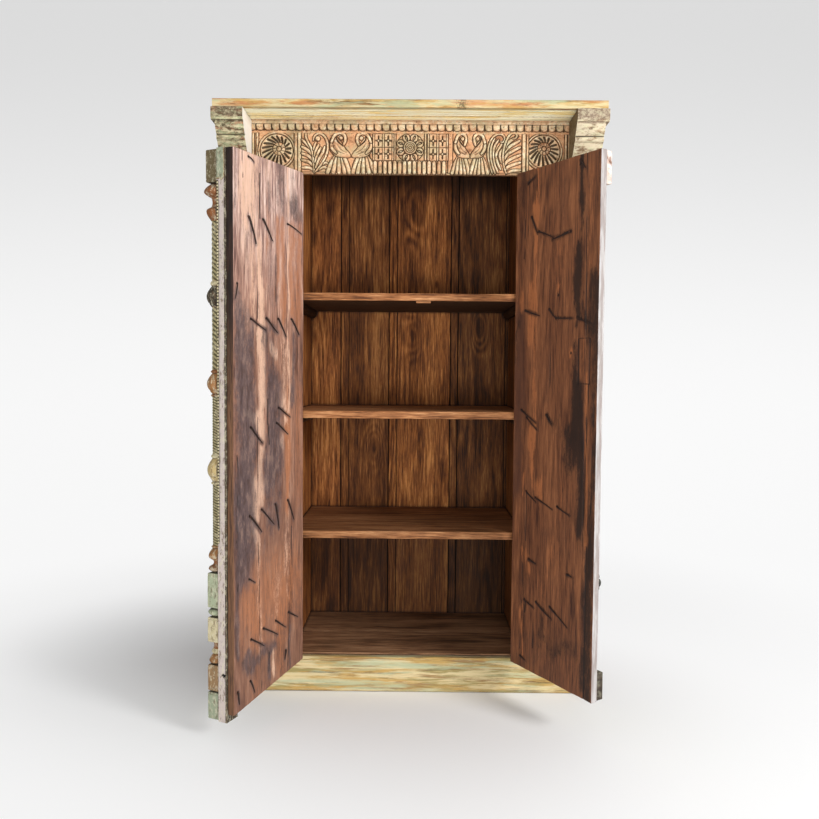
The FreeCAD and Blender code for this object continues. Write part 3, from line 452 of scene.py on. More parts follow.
def painted(name, along, seed, base, coats, bare, *wear, flank=None, blot=None, bands=()):
    """Worn paint, with worn_paint's streak, edges and dirt (grime and painted shade in recesses) as wear; flank is
    (side, tone, share) of painted light, another tone on the faces that look to that side, lighter for a painted
    highlight and darker for a painted shade; blot is (x, half width, tone) of a speckled mark; and bands are
    (axis, middle, half width, tone, share) of painted lines, which on the soffit are painted highlights and shade."""
    g = Graph(name)
    shade, height = worn_paint(g, turned_space(g, along), seed, base, coats, bare, *wear)
    for axis, middle, half, tone, share in bands:
        away = g.math("ABSOLUTE", g.math("SUBTRACT", g.geometry("Position", axis), middle))
        away = g.math("MULTIPLY_ADD", g.noise(g.space, 55.0, 5.0, 0.7), half * 2.0, away)
        patchy = g.span(g.noise(g.space, 150.0, 5.0, 0.75), 0.4, 0.58, 0.35 * share, share)
        shade = g.mix(g.math("MULTIPLY", g.span(away, half * 2.3, half * 1.7), patchy), shade, tone)
    if blot:
        x, half, tone = blot
        away = g.math("ABSOLUTE", g.math("SUBTRACT", g.split(g.space)[0], x))
        speckle = g.math("ADD", g.noise(g.space, 220.0, 5.0, 0.8), g.span(away, half, 0.0, -0.5, 0.02))
        shade = g.lay(shade, tone, speckle, 0.46, 0.54, 0.85)
    # Painted light on the faces that look to one side: lighter for a painted highlight, darker for a painted shade.
    if flank:
        side, tone, share = flank
        shade = g.lay(shade, tone, g.geometry("Normal", 0), 0.5 * side, 0.8 * side, share)
    return g.finish(shade, 0.75, height, 0.45, 0.0008, specular=0.3)


def iron():
    g = Graph("forged_iron")
    rust = g.noise(g.space, 140.0, 6.0, 0.7)
    shade = g.ramp(rust, (0.3, 0.52, 0.72), ((26, 20, 19), (48, 34, 29), (98, 58, 38)))
    return g.finish(shade, g.span(rust, 0.3, 0.7, 0.45, 0.85), rust, 0.5, 0.0008, metallic=0.35)


CREAM = (222, 204, 158)
ORANGE = (206, 142, 90)
OLIVE = (142, 134, 86)
MINT = (164, 176, 146)
WHITE = (216, 206, 186)
BROWN = (112, 82, 52)
TEAK = ((54, 28, 12), (96, 56, 27), (127, 78, 40), (166, 113, 64))
STAIN = ((52, 30, 18), (88, 54, 32), (112, 72, 44), (138, 92, 58))
IRON = iron()


def frieze_material():
    """Terracotta ground and cream crests, by the relief's own paint, and its cuts darkened by dirt and painted shade.
    """
    g = Graph("frieze_paint_worn")
    space = turned_space(g, "x")
    tone = g.grain(space, 0.6, 26.0, 6.0, 0.66)
    ground = g.ramp(tone, (0.32, 0.5, 0.68), ((140, 96, 66), (200, 150, 110), (222, 182, 142)))
    top = g.noise(g.moved(space, (3, 1, 2)), 60.0, 6.0, 0.75)
    raised = g.ramp(top, (0.34, 0.47, 0.62), ((166, 124, 88), (214, 182, 144), (228, 218, 186)))
    shade = g.lay(ground, raised, g.around(tone, 1.2, g.attribute("crest")), 0.1, 1.0, 0.85)
    for place, size, low, opacity, tint in (((7, 5, 1), 17.0, 0.48, 0.48, (158, 152, 116)),
                                            ((2, 9, 4), 90.0, 0.56, 0.55, (226, 216, 188)),
                                            ((5, 1, 8), 120.0, 0.54, 0.7, (104, 72, 48))):
        shade = g.lay(shade, tint, g.noise(g.moved(space, place), size, 5.0, 0.68), low, low + 0.12, opacity)
    # Cuts darkened: dirt and painted shade in the recesses.
    shade = g.lay(shade, (62, 46, 30), g.around(top, 0.8, g.attribute("hollow")), 0.12, 0.85, 0.92)
    fine = g.noise(space, 240.0, 4.0, 0.7)
    return g.finish(shade, 0.8, g.math("ADD", fine, tone), 0.35, 0.0006, specular=0.25)


def leaf_planks(side):
    """Raw inner face with its stains, worn paint on the outer face, and the leading edge."""
    left = side < 0
    g = Graph(SIDE_WORD[side] + "_plank_wood")
    space = g.space
    tone, fibre = wood_figure(g, space, 4.0 if left else 9.0)
    v, z = g.split(space)[1:]
    stretch, fineness = (0.42, 90.0) if left else (0.3, 105.0)
    ragged = g.grain(g.moved(space, (2, 5, 3)), stretch, fineness, 7.0, 0.86)
    if left:
        shades = ((84, 56, 46), (132, 92, 74), (158, 114, 92), (188, 148, 124))
        soot = g.ramp(g.grain(space, 0.28, 70.0, 6.0, 0.75), (0.38, 0.5, 0.64),
                      ((58, 48, 50), (82, 70, 72), (126, 104, 96)))
        layers = (("tinge", (172, 110, 72), 0.75), ("light", (220, 180, 154), 0.8), ("dark", soot, 0.86))
        deep, edge_tones = (40, 28, 24), ((28, 15, 9), (52, 32, 23))
    else:
        shades = ((62, 34, 22), (100, 60, 38), (122, 76, 48), (146, 94, 60))
        layers = (("tinge", (80, 50, 38), 0.75), ("light", (176, 108, 64), 0.65), ("dark", (30, 20, 16), 0.9))
        deep, edge_tones = (22, 15, 13), ((146, 136, 132), (178, 174, 172))
    inner = g.ramp(tone, (0.14, 0.4, 0.6, 0.86), shades)
    if left:
        # Painted sheen: the upper part of the left leaf's inner face lighter and pinker.
        top_sheen = ((112, 86, 82), (172, 138, 126), (206, 176, 164), (232, 208, 196))
        inner = g.lay(inner, g.ramp(tone, (0.2, 0.42, 0.58, 0.8), top_sheen), z, 1.05, 1.6, 0.9)
        # Painted shade: the left leaf's inner face darker towards the bottom.
        inner = g.lay(inner, (100, 68, 54), z, 1.0, 0.5, 0.5)
    for name, tint, opacity in layers:
        mask = g.around(fibre, 1.1, g.around(ragged, 1.8, g.attribute(name)))
        inner = g.lay(inner, tint, mask, 0.2, 0.85, opacity)
    fleck = g.span(g.grain(space, 0.22, 110.0, 5.0, 0.7), 0.57, 0.74)
    inner = g.mix(g.math("MULTIPLY", fleck, 0.3), inner, deep)
    inner = g.lay(inner, deep, g.attribute("crack"), 0.15, 0.8, 0.92)
    coats = ((ORANGE, 0.55, 0.09, 0.9), (OLIVE, 0.5, 0.07, 0.9), (CREAM, 0.52, 0.05, 0.9), (MINT, 0.42, 0.08, 0.9))
    outer = worn_paint(g, space, 6.0 + side, BROWN, coats, WHITE)[0]
    shade = g.lay(inner, outer, v, 0.0012, 0.0002)
    grimy = g.ramp(g.grain(space, 0.12, 60.0, 5.0, 0.65), (0.4, 0.6), edge_tones)
    if left:
        worn_edge = g.ramp(fibre, (0.35, 0.6), ((70, 44, 30), (118, 82, 56)))
        grimy = g.lay(grimy, worn_edge, z, 1.25, 0.85)
    shade = g.lay(shade, grimy, g.attribute("lead"), 0.3, 0.7)
    return g.finish(shade, g.span(tone, 0.2, 0.8, 0.62, 0.78),
                    g.math("MULTIPLY_ADD", g.attribute("crack"), -3.0, fibre), 0.4, 0.0007, specular=0.35)


# ---------------------------------------------------------------- boards of the carcass
def board(node, material, radius=2.0, wobble=0.7, step=16.0, grow=(0, 0, 0), round_back=True, lines_x=()):
    """Worn board in the place of a box-shaped node: uneven faces, softened edges, and scratched lines at lines_x."""
    low, high = (np.array(corner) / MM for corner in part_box(node))
    low, high = low - np.array(grow), high + np.array(grow)
    lines = [marks(low[i], high[i], step, min(3.0, (high[i] - low[i]) / 3)) for i in range(3)]
    banks = [[x + width, x - width] for x in lines_x for width in (SCRATCH_INNER, SCRATCH_OUTER)]
    lines[0] = np.unique(np.concatenate([lines[0]] + banks))
    points, faces = block_surface(*lines)
    # Mask along the board's long sides and, at 0.7, in its scratched lines, where the back boards' wood paints shade.
    seam_shade = smooth(np.minimum(points[:, 0] - low[0], high[0] - points[:, 0]), 3.1, 1.0)
    centre, half = (low + high) / 2, (high - low) / 2
    scratch = np.zeros(len(points))
    for x in lines_x:
        scratch = np.maximum(scratch, smooth(np.abs(points[:, 0] - x), SCRATCH_OUTER, SCRATCH_INNER))
    scratch *= points[:, 1] < centre[1]
    points = rounded(points, low, high, radius)
    points[:, 1] += scratch * SCRATCH_DEPTH
    seed = sum(ord(letter) for letter in node) % 97
    for axis in range(3):
        p, q = (points[:, i] / 70 for i in range(3) if i != axis)
        share = (points[:, axis] - centre[axis]) / half[axis]
        depth = np.where((axis == 1) & (share > 0) & (not round_back), 0, wobble)
        points[:, axis] -= share * layered_noise(p, q, seed + axis) * depth
    worn = make_mesh(node + "_worn", points, faces, {"seam_shade": np.maximum(seam_shade, scratch * 0.7)})
    mount(crease(worn), "carcass", material, [node])


def keep(node, material, bevel=1.2):
    """Keep a node's shape, with softened edges."""
    obj = nodes[node]
    dress(obj, material)
    weld = obj.modifiers.new("weld", "WELD")
    weld.merge_threshold = 0.00002
    soften = obj.modifiers.new("soften", "BEVEL")
    soften.width = bevel * MM
    soften.segments = 2
    soften.limit_method = "ANGLE"
    soften.angle_limit = math.radians(35)


# By the back board's number: x of the line scratched along its edge, and knots as (x, z, size) in metres. A
# scratch has an outer and an inner half width.
SCRATCHES = {3: (-227.0,), 4: (-47.0,), 6: (358.0,)}
SCRATCH_OUTER, SCRATCH_INNER, SCRATCH_DEPTH = 2.2, 0.9, 1.4
KNOTS = {3: ((-0.13, 0.75, 0.05),), 4: ((0.02, 1.63, 0.07), (0.012, 1.17, 0.05), (0.10, 1.36, 0.03)),
         6: ((0.26, 1.2, 0.05),)}
BACK_TINTS = (1.1, 1.24, 1.06, 1.24, 0.94, 0.9, 0.82)
SHELF = ((84, 48, 26), (140, 90, 54), (172, 118, 76), (206, 152, 106))
GREY = ((78, 54, 38), (126, 90, 64), (156, 116, 84), (180, 140, 106))


def carcass_boards():
    def dim(shades, share):
        return [dimmed(shade, share) for shade in shades]

    for number, tint in enumerate(BACK_TINTS, 1):
        material = wood("back_wood_%d" % number, "z", 3.0 * number, dim(TEAK, tint), 0.7, 0.3, KNOTS.get(number, ()),
                        0.34)
        board("back_board_%d" % number, material, 4.0, 0.4, 20.0, (0.9, 0, 0), False,
              SCRATCHES.get(number, ()))
    # The left inner wall's wood is lighter than the right one's: painted light, as the lamp on the right lights the
    # left wall.
    for side, tint in (("left", 1.3), ("right", 1.03)):
        wall, seed = dim(TEAK, tint), len(side)
        board("inner_wall_" + side, wood("wall_wood_" + side, "z", 41 + seed, wall))
        board("side_panel_" + side, wood("side_wood_" + side, "z", 51 + seed, STAIN, 0.5), 2.5)
        # The cleats' wood is dimmed to 0.45 of the wall's: painted shade at the sides under the shelves.
        keep("shelf_cleats_" + side, wood("cleat_wood_" + side, "y", 71 + seed, dim(wall, 0.45)))
    # under: painted shade on each shelf's underside.
    for number, tones, under in ((1, dim(SHELF, 0.9), 0.75), (2, SHELF, 0.8), (3, SHELF, 0.9)):
        material = wood("shelf_wood_%d" % number, "x", 11.0 * number, tones, under=under)
        board("shelf_%d" % number, material, 2.2, 0.9)
    for number, place in ((1, "front"), (2, "rear")):
        board("floor_board_" + place, wood("floor_wood_%d" % number, "x", 17 + 6 * number, GREY, 0.6))
    board("catch_block", wood("catch_wood", "x", 31, SHELF), 1.0, 0.3, 6.0)
    board("top_board", wood("top_wood", "x", 37, STAIN, 0.5), 2.0)


# Coats of paint: (tone, cover, patch size in metres, opacity). Bands: see painted.
BASE_COATS = (((194, 158, 92), 0.66, 0.032, 0.9), (OLIVE, 0.5, 0.024, 0.8), ((216, 198, 154), 0.5, 0.017, 0.85),
              ((176, 184, 152), 0.32, 0.026, 0.75), ((144, 104, 58), 0.32, 0.015, 0.75))
# The soffit's coats are lighter than the fascia's: painted light on the downward-facing moulding. Its pale bands are
# painted highlights on the steps and roll, and its dark bands painted shade in a groove and under the roll.
SOFFIT_LIT_COATS = (((222, 160, 104), 0.5, 0.05, 0.7), ((255, 228, 150), 0.72, 0.05, 0.95),
                ((255, 252, 222), 0.6, 0.03, 0.95), ((216, 224, 188), 0.22, 0.03, 0.8))
SOFFIT_LIGHT_BANDS = ((1, -0.104, 0.007, (255, 250, 220), 0.6), (1, -0.086, 0.006, (168, 126, 70), 0.8),
                (1, -0.062, 0.012, (255, 250, 214), 0.65), (1, -0.043, 0.005, (104, 84, 50), 0.8))
FASCIA_COATS = ((ORANGE, 0.5, 0.034, 0.6), ((194, 160, 94), 0.52, 0.028, 0.85), ((208, 192, 148), 0.58, 0.02, 0.85),
                ((170, 176, 138), 0.34, 0.03, 0.8), ((190, 126, 82), 0.22, 0.028, 0.75),
                ((84, 74, 62), 0.05, 0.014, 0.8))
FRAME_COATS = ((ORANGE, 0.5, 0.10, 0.9), (OLIVE, 0.55, 0.09, 0.9), (CREAM, 0.56, 0.07, 0.9), (MINT, 0.34, 0.1, 0.9))
# Corbels: wood under the paint, bare wood on the edges, coats, bands.
CORBEL_PAINT = {
    "left": ((104, 84, 56), (204, 196, 158),
             (((184, 132, 100), 0.42, 0.014, 0.8), ((172, 178, 138), 0.48, 0.013, 0.8),
              ((212, 200, 162), 0.46, 0.009, 0.85), ((84, 62, 42), 0.28, 0.011, 0.85)),
             ((2, 1.791, 0.014, (84, 62, 46), 0.8), (2, 1.773, 0.003, (206, 206, 162), 0.7),
              (2, 1.7675, 0.0025, (66, 54, 36), 0.85))),
    "right": ((132, 106, 78), (214, 202, 178),
              (((182, 156, 124), 0.45, 0.016, 0.8), ((208, 194, 166), 0.6, 0.015, 0.9),
               ((206, 200, 166), 0.38, 0.010, 0.8), ((124, 100, 80), 0.22, 0.009, 0.8)),
              ((2, 1.789, 0.016, (112, 90, 74), 0.85), (2, 1.7675, 0.0025, (120, 92, 76), 0.7))),
}


def painted_boards():
    base = painted("base_paint_worn", "x", 2.0, BROWN, BASE_COATS, WHITE, 0.065, 0.5)
    board("base_rail", base, 2.5, 1.2, 14.0)
    fascia = painted("fascia_paint_worn", "x", 5.0, (150, 112, 68), FASCIA_COATS, (216, 200, 160), 0.14, 0.5,
                     blot=(0.152, 0.06, (92, 82, 58)))
    keep("cornice_fascia", fascia, 1.0)
    # Soffit: lightened paint with bands of painted highlight and painted shade.
    soffit = painted("soffit_paint_worn_lit", "x", 6.0, (226, 184, 118), SOFFIT_LIT_COATS, (255, 246, 212), 0.1, 0.3, 0.3,
                     bands=SOFFIT_LIGHT_BANDS)
    keep("soffit_moulding", soffit, 0.8)
    frame_paint = painted("frame_paint_worn", "z", 8.0, BROWN, FRAME_COATS, WHITE, 0.25)
    # The left corbel's inner flank gets a painted highlight and the right one's a painted shade, as the lamp on the
    # right would light them.
    for side, flank in (("left", (1, (255, 250, 242), 0.94)), ("right", (-1, (92, 78, 48), 0.75))):
        keep("pilaster_" + side, frame_paint, 1.5)
        board("jamb_board_" + side, frame_paint, 2.0, 1.0)
        keep("hinge_pintles_" + side, IRON, 0.5)
        under, bare, coats, bands = CORBEL_PAINT[side]
        keep("corbel_" + side, painted("corbel_paint_" + side, "x", 12.0 + len(side), under, coats, bare, 0.42, 0.5,
                                       0.75, flank=flank, bands=bands))


# ---------------------------------------------------------------- carved frieze
class Relief:
    """Height map of carved figures on an (x, z) grid, in millimetres above the sunk ground."""

    def __init__(self, x0, x1, z0, z1, step):
        self.x = np.arange(x0, x1 + step / 2, step)
        self.z = np.arange(z0, z1 + step / 2, step)
        self.high, self.cut, self.paint = np.zeros((3, len(self.x), len(self.z)))

    def window(self, xs, zs, margin=6.0):
        """Part of the grid round these places: (index, x, z)."""
        i0, i1 = np.searchsorted(self.x, (min(xs) - margin, max(xs) + margin))
        k0, k1 = np.searchsorted(self.z, (min(zs) - margin, max(zs) + margin))
        x, z = np.meshgrid(self.x[i0:i1], self.z[k0:k1], indexing="ij")
        return (slice(i0, i1), slice(k0, k1)), x, z

    def disc(self, x, z, radius):
        """Grid window round a disc, and the distance to its middle."""
        spot, gx, gz = self.window((x - radius, x + radius), (z - radius, z + radius))
        return spot, np.hypot(gx - x, gz - z)

    def raise_to(self, spot, inside, height, soft, paint, line=1.0):
        """Figure where inside (distance in from its outline) is positive, with a cut round it, darkened by dirt and
        painted shade.
        """
        share = np.clip(inside / soft, 0, 1)
        lift = np.maximum(height * np.sqrt(1 - (1 - share) ** 2), np.minimum(self.high[spot], height * 0.35))
        self.high[spot] = np.where(inside > 0, lift, self.high[spot])
        self.paint[spot] = np.where(inside > 0, paint, self.paint[spot])
        ring = smooth(inside, -3.0, -1.5) * smooth(inside, 0.4, -0.4) * line
        self.cut[spot] = np.maximum(self.cut[spot] * smooth(inside, 1.0, 0.0), ring)

    def reach(self, points, width, taper):
        """Grid window and distance inside a tapering stroke along a smooth line."""
        line = spline(points, max(8, 5 * len(points)))
        spot, x, z = self.window(*line.T, width + 6)
        inside = np.full(x.shape, -99.0)
        for a, b, share in zip(line, line[1:], np.linspace(0, 1, len(line))):
            ends = taper[0] + (taper[1] - taper[0]) * share
            half = width / 2 * (ends + (1 - ends) * math.sin(math.pi * share) ** 0.5)
            inside = np.maximum(inside, half - line_gap(x, z, *a, *b))
        return spot, inside

    def stroke(self, points, width, height=5.0, taper=(0.6, 0.4), soft=None, paint=1.0):
        spot, inside = self.reach(points, width, taper)
        self.raise_to(spot, inside, height, soft or width / 2, paint)

    def groove(self, points, width=3.0, depth=1.0, taper=(0.5, 0.8)):
        spot, inside = self.reach(points, width, taper)
        self.cut[spot] = np.maximum(self.cut[spot], smooth(inside, -0.7, 0.9) * depth)

    def blob(self, outline, height=5.0, soft=7.0, paint=1.0):
        line = spline(list(outline) + [outline[0]], 6 * len(outline))
        spot, x, z = self.window(*line.T)
        gap, odd = np.full(x.shape, 99.0), np.zeros(x.shape, bool)
        for a, b in zip(line, line[1:]):
            gap = np.minimum(gap, line_gap(x, z, *a, *b))
            if a[1] != b[1]:
                odd ^= ((a[1] > z) != (b[1] > z)) & (x < (b[0] - a[0]) * (z - a[1]) / (b[1] - a[1]) + a[0])
        self.raise_to(spot, np.where(odd, gap, -gap), height, soft, paint)

    def ring(self, x, z, radius, width, height=5.0, paint=1.0):
        spot, away = self.disc(x, z, radius)
        self.raise_to(spot, width / 2 - np.abs(away - radius), height, width / 2, paint)

    def knob(self, x, z, radius, height=5.0, flat=0.5, paint=1.0, line=1.0):
        spot, away = self.disc(x, z, radius)
        self.raise_to(spot, radius - away, height, radius * flat + 0.5, paint, line)

    def panel(self, x0, x1, z0, z1, height=5.0, soft=1.5, paint=1.0, line=1.0):
        spot, gx, gz = self.window((x0, x1), (z0, z1))
        inside = np.minimum(np.minimum(gx - x0, x1 - gx), np.minimum(gz - z0, z1 - gz))
        self.raise_to(spot, inside, height, soft, paint, line)


def polar(x, z, radius, turn):
    return x + radius * math.cos(turn), z + radius * math.sin(turn)


def turns(count, first=0.0):
    """Angles that share out a full turn."""
    return [2 * math.pi * index / count + first for index in range(count)]


def carve_wheel(r, x, z, radius, hub):
    """Sun wheel: rim, disc with leaning slots between its spokes, darkened by dirt and painted shade, and a
    petalled hub off its centre.
    """
    r.knob(x, z, radius - 7, 4.6, 0.15, 0.8)
    r.ring(x, z, radius - 2, 4.6, 5.6, 0.75)
    inner, outer = 22.0, radius - 13.5
    for turn in turns(18):
        path = [polar(hub[0] + (x - hub[0]) * share, hub[1] + (z - hub[1]) * share, inner + (outer - inner) * share,
                      turn + lean) for share, lean in ((0.0, 0.0), (0.5, 0.10), (1.0, 0.16))]
        r.groove(path, 7.4, 1.0, (0.25, 0.95))
    r.knob(*hub, 19, 5.0, 0.8, 0.55)
    for turn in turns(9):
        r.groove([polar(*hub, 7, turn), polar(*hub, 18, turn + 0.3)], 2.4, 0.8)
    r.knob(*hub, 6.5, 6.0, 0.6, 0.4)


# Leaflets and stems of the four fronds, in drawing order: (width, points).
FRONDS = (
    (9, [(-299, 1658), (-314, 1664), (-334, 1664)]), (9, [(-300, 1670), (-314, 1682), (-335, 1688)]),
    (9, [(-301, 1686), (-315, 1700), (-335, 1708)]), (9, [(-303, 1703), (-317, 1718), (-336, 1728)]),
    (8, [(-307, 1722), (-321, 1737), (-335, 1750)]),
    (6.5, [(-297, 1650), (-299, 1676), (-301, 1702), (-306, 1724), (-316, 1742), (-323, 1758), (-322, 1774)]),
    (7, [(-288, 1656), (-270, 1666), (-256, 1662), (-249, 1651)]), (6, [(-276, 1670), (-262, 1680), (-249, 1672)]),
    (8, [(-293, 1664), (-283, 1690), (-270, 1712), (-265, 1729)]), (7, [(-295, 1680), (-288, 1704), (-277, 1725)]),
    (7, [(-297, 1700), (-292, 1718), (-283, 1734)]), (6, [(-299, 1718), (-296, 1732), (-291, 1742)]),
    (6.5, [(-293, 1652), (-276, 1674), (-262, 1698), (-255, 1724), (-258, 1747), (-268, 1763), (-283, 1769),
           (-296, 1761), (-300, 1748)]), (7, [(284, 1682), (278, 1698), (279, 1714), (288, 1728)]),
    (7.5, [(281, 1662), (270, 1686), (267, 1710), (285, 1743)]),
    (7.5, [(273, 1652), (261, 1680), (257, 1708), (261, 1732), (273, 1752)]),
    (7.5, [(264, 1650), (253, 1680), (249, 1710), (252, 1738), (262, 1757)]),
    (6.0, [(255, 1650), (246, 1680), (241, 1708), (244, 1736), (254, 1758), (270, 1770), (285, 1768), (292, 1757),
           (288, 1746), (279, 1746)]), (8.5, [(299, 1652), (316, 1658), (342, 1660)]),
    (9.5, [(293, 1660), (308, 1673), (341, 1684)]), (9.5, [(290, 1672), (304, 1690), (341, 1707)]),
    (9.5, [(288, 1688), (302, 1709), (340, 1730)]), (9.5, [(288, 1705), (301, 1727), (338, 1750)]),
    (9, [(291, 1722), (303, 1744), (332, 1764)]),
    (6.5, [(298, 1650), (290, 1676), (287, 1704), (291, 1731), (299, 1754), (309, 1769), (321, 1775), (329, 1768),
           (326, 1758), (317, 1757)]),
)


def carve_peacock(r, x, face, wide):
    """Bird turned to one side: hooked neck, full breast that points down, and five flaring tail feathers."""
    def at(*places):
        return [(x + face * wide * dx, z) for dx, z in places]

    for foot, root in ((-39, -14), (-21, -8), (-3, -2), (14, 5), (29, 11)):
        r.stroke(at((root, 1700), ((root + foot) * 0.52, 1678), (foot, 1650)), 12.0 * wide ** 0.5, 5.4, (0.4, 0.95))
    r.blob(at((-33, 1740), (-32, 1722), (-23, 1708), (-10, 1699), (12, 1696), (32, 1698), (28, 1711), (17, 1722),
              (8, 1736), (-4, 1752), (-13, 1759), (-27, 1756)), 5.2, 9.0, 0.5)
    r.stroke(at((-27, 1742), (-25, 1724), (-12, 1709)), 9.0, 5.6, (0.7, 0.3), paint=1.0)
    r.stroke(at((-26, 1744), (-17, 1763), (0, 1771), (14, 1763), (16, 1748), (11, 1735)), 9.0, 5.9, (0.9, 0.5))
    r.knob(*at((3, 1755))[0], 5.5, 4.4, 0.8, 0.9)
    r.groove(at((-12, 1758), (-7, 1745), (9, 1731)), 4.6)
    r.groove(at((-19, 1736), (-8, 1716), (14, 1706)), 2.0, 0.55)
    r.groove(at((-10, 1738), (1, 1721), (20, 1710)), 2.0, 0.5)


def carve_lattice(r, x0, x1, columns):
    """Two by two square cells, each with a flower of four leaves."""
    rows = (1688, 1727, 1768)
    r.panel(x0, x1, rows[0], rows[2], 4.6, 1.0, 0.45)
    for x in columns:
        for low, high in zip(rows, rows[1:]):
            z = (low + high) / 2
            for turn in turns(4):
                across, upward = math.cos(turn), math.sin(turn)
                r.groove([(x + 4 * across, z + 4 * upward), (x + 12 * across, z + 14 * upward)], 5.4, 0.75, (0.2, 0.9))
            r.knob(x, z, 3.0, 5.6, 0.7, 0.9)
    for x in (x0, (x0 + x1) / 2, x1):
        r.panel(x - 2.2, x + 2.2, rows[0], rows[2], 5.2, 1.0, 0.7, 0.7)
    r.groove([(x0, rows[1]), (x1, rows[1])], 2.6, 0.8, (1, 1))


def carve_medallion(r, x, z):
    """Flower of eight open petals round a ring and nested diamonds."""
    r.knob(x, z, 43, 3.4, 0.1, 0.35)
    for turn in turns(8, 0.39):
        r.knob(*polar(x, z, 32, turn), 11, 4.8, 0.4, 0.8)
        r.groove([polar(x, z, 25, turn), polar(x, z, 38, turn)], 8.5, 0.95, (0.5, 0.4))
        r.stroke([polar(x, z, 27, turn), polar(x, z, 35, turn)], 3.4, 4.6)
    r.knob(x, z, 20, 5.6, 0.15, 0.7)
    r.groove([polar(x, z, 15, turn) for turn in np.linspace(0, 2 * math.pi, 24)], 2.4, 0.9, (1, 1))
    for size in (11, 5):
        r.groove([(x - size, z), (x, z + size), (x + size, z), (x, z - size), (x - size, z)], 2.2, 0.9, (1, 1))


# Plain posts of the frieze from left to right: (x, x, share of cream).
POSTS = ((-358, -349, 0.2), (-347, -338, 0.9), (-124, -116, 0.1), (-50, -45, 0.6), (45, 50, 0.9), (118, 131, 0.1),
         (347, 357, 1.0), (360, 366, 0.4))
FRIEZE_HALF, FRIEZE_TOP = 500, 1805
SCALLOP_PITCH = 24.4


def carve_figures(r):
    """All figures of the frieze, in the order in which they lie over one another."""
    whole = (-FRIEZE_HALF, FRIEZE_HALF)
    r.panel(*whole, 1640, 1650, 4.6, 1.5, 0.1)
    for x in (-486, -473, 481, 492):
        r.panel(x - 3, x + 3, 1652, 1770, 5.2)
    carve_wheel(r, -413.5, 1715.5, 57, (-406, 1721))
    carve_wheel(r, 413.0, 1717.0, 57, (414, 1726))
    for x0, x1, paint in POSTS:
        r.panel(x0, x1, 1650, 1771, 5.4, 1.5, paint)
    for width, points in FRONDS:
        r.stroke(points, width, 5.4, (0.55, 0.35))
    r.knob(-286, 1753, 7.0, 6.0)
    r.stroke([(236, 1658), (227, 1664), (222, 1675), (229, 1684)], 6.0, 5.0)
    for x, face, wide in ((-217, 1, 1.0), (-148, -1, 1.0), (160, 1, 0.76), (211, -1, 0.76)):
        carve_peacock(r, x, face, wide)
    carve_lattice(r, -113, -53, (-98, -68))
    carve_lattice(r, 56, 115, (71, 100))
    carve_medallion(r, 0, 1727)
    r.panel(-52, 52, 1682, 1686, 4.6)
    for flute in range(15):
        x = -108 + flute * 15.2
        r.stroke([(x, 1650), (x, 1681)], 11.0, 5.6, (0.9, 0.9), 4.0, 0.9 - 0.5 * (flute % 4 == 1))
    r.panel(*whole, 1770, 1776, 1.6, 1.5, 0.0, 0.25)
    r.panel(*whole, 1789, 1812, 5.6, 1.5, 0.7, 0.0)
    for scallop in range(-20, 21):
        x = -1.0 + scallop * SCALLOP_PITCH
        between = x + SCALLOP_PITCH / 2
        r.knob(x, 1790, 11.6, 5.6, 0.3, 0.75, 0.75)
        r.panel(x - 11.6, x + 11.6, 1790, 1812, 5.6, 1.5, 0.75, 0.0)
        r.groove([(between, 1799), (between, 1790), (between, 1780)], 6.2, 0.95, (0.1, 1.0))
    r.panel(*whole, 1798, 1812, 5.8, 1.2, 0.8, 0.5)


def carved_frieze():
    low, high = (np.array(corner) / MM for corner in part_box("frieze_board"))
    ground, deep = 5.2, 8.6
    r = Relief(-FRIEZE_HALF, FRIEZE_HALF, low[2], FRIEZE_TOP, 1.0)
    carve_figures(r)

    def field(wide, tall, seed):
        return layered_noise(r.x[:, None] / wide, r.z[None, :] / tall, seed)

    cut = np.clip(r.cut * (0.75 + 0.7 * field(14.0, 14.0, 8)), 0, 1)
    depth = ground - r.high * (1 - cut) + cut * (deep - ground) + (field(5.0, 5.0, 3) - 0.5) * 0.9
    depth = np.clip(depth + (field(60, 40, 9) - 0.5) * 0.8, 0.05, deep)
    crest = r.paint * np.clip(r.high / 3.6, 0, 1)
    nx, nz = depth.shape
    gx, gz = np.meshgrid(r.x, r.z, indexing="ij")
    front = np.stack([gx, FRONT + depth, gz], -1).reshape(-1, 3)
    faces = [(i * nz + k, (i + 1) * nz + k, (i + 1) * nz + k + 1, i * nz + k + 1)
             for i in range(nx - 1) for k in range(nz - 1)]
    rim = ([(i, 0) for i in range(nx)] + [(nx - 1, k) for k in range(1, nz)]
           + [(i, nz - 1) for i in range(nx - 2, -1, -1)] + [(0, k) for k in range(nz - 2, 0, -1)])
    back = [(r.x[i], STOP_Y, r.z[k]) for i, k in rim] + [(0.0, STOP_Y, (r.z[0] + r.z[-1]) / 2)]
    first, count = len(front), len(rim)
    for a in range(count):
        b = (a + 1) % count
        ia, ib = (rim[i][0] * nz + rim[i][1] for i in (a, b))
        faces += [(ib, ia, first + a, first + b), (first + b, first + a, first + count)]
    masks = {key: np.append(values, np.zeros(count + 1)) for key, values in (("crest", crest), ("hollow", cut))}
    material = frieze_material()
    panel = make_mesh("frieze_carved", np.concatenate([front, np.array(back)]), faces, masks)
    mount(panel, "carcass", material, ["frieze_board"])
    plain = ((low[0], -FRIEZE_HALF - 0.5, low[2]), (FRIEZE_HALF + 0.5, high[0], low[2]),
             (-FRIEZE_HALF, FRIEZE_HALF, FRIEZE_TOP + 0.5))
    for number, (x0, x1, z0) in enumerate(plain):
        points, faces = block_surface(marks(x0, x1, 12.0), marks(FRONT, STOP_Y, 8.0), marks(z0, high[2], 12.0, 2.0))
        points = rounded(points, (x0, FRONT, z0), (x1, STOP_Y, high[2]), 0.8)
        masks = {"crest": np.full(len(points), 0.6), "hollow": np.zeros(len(points))}
        end = make_mesh("frieze_plain_%d" % number, points, faces, masks)
        mount(crease(end), "carcass", material)


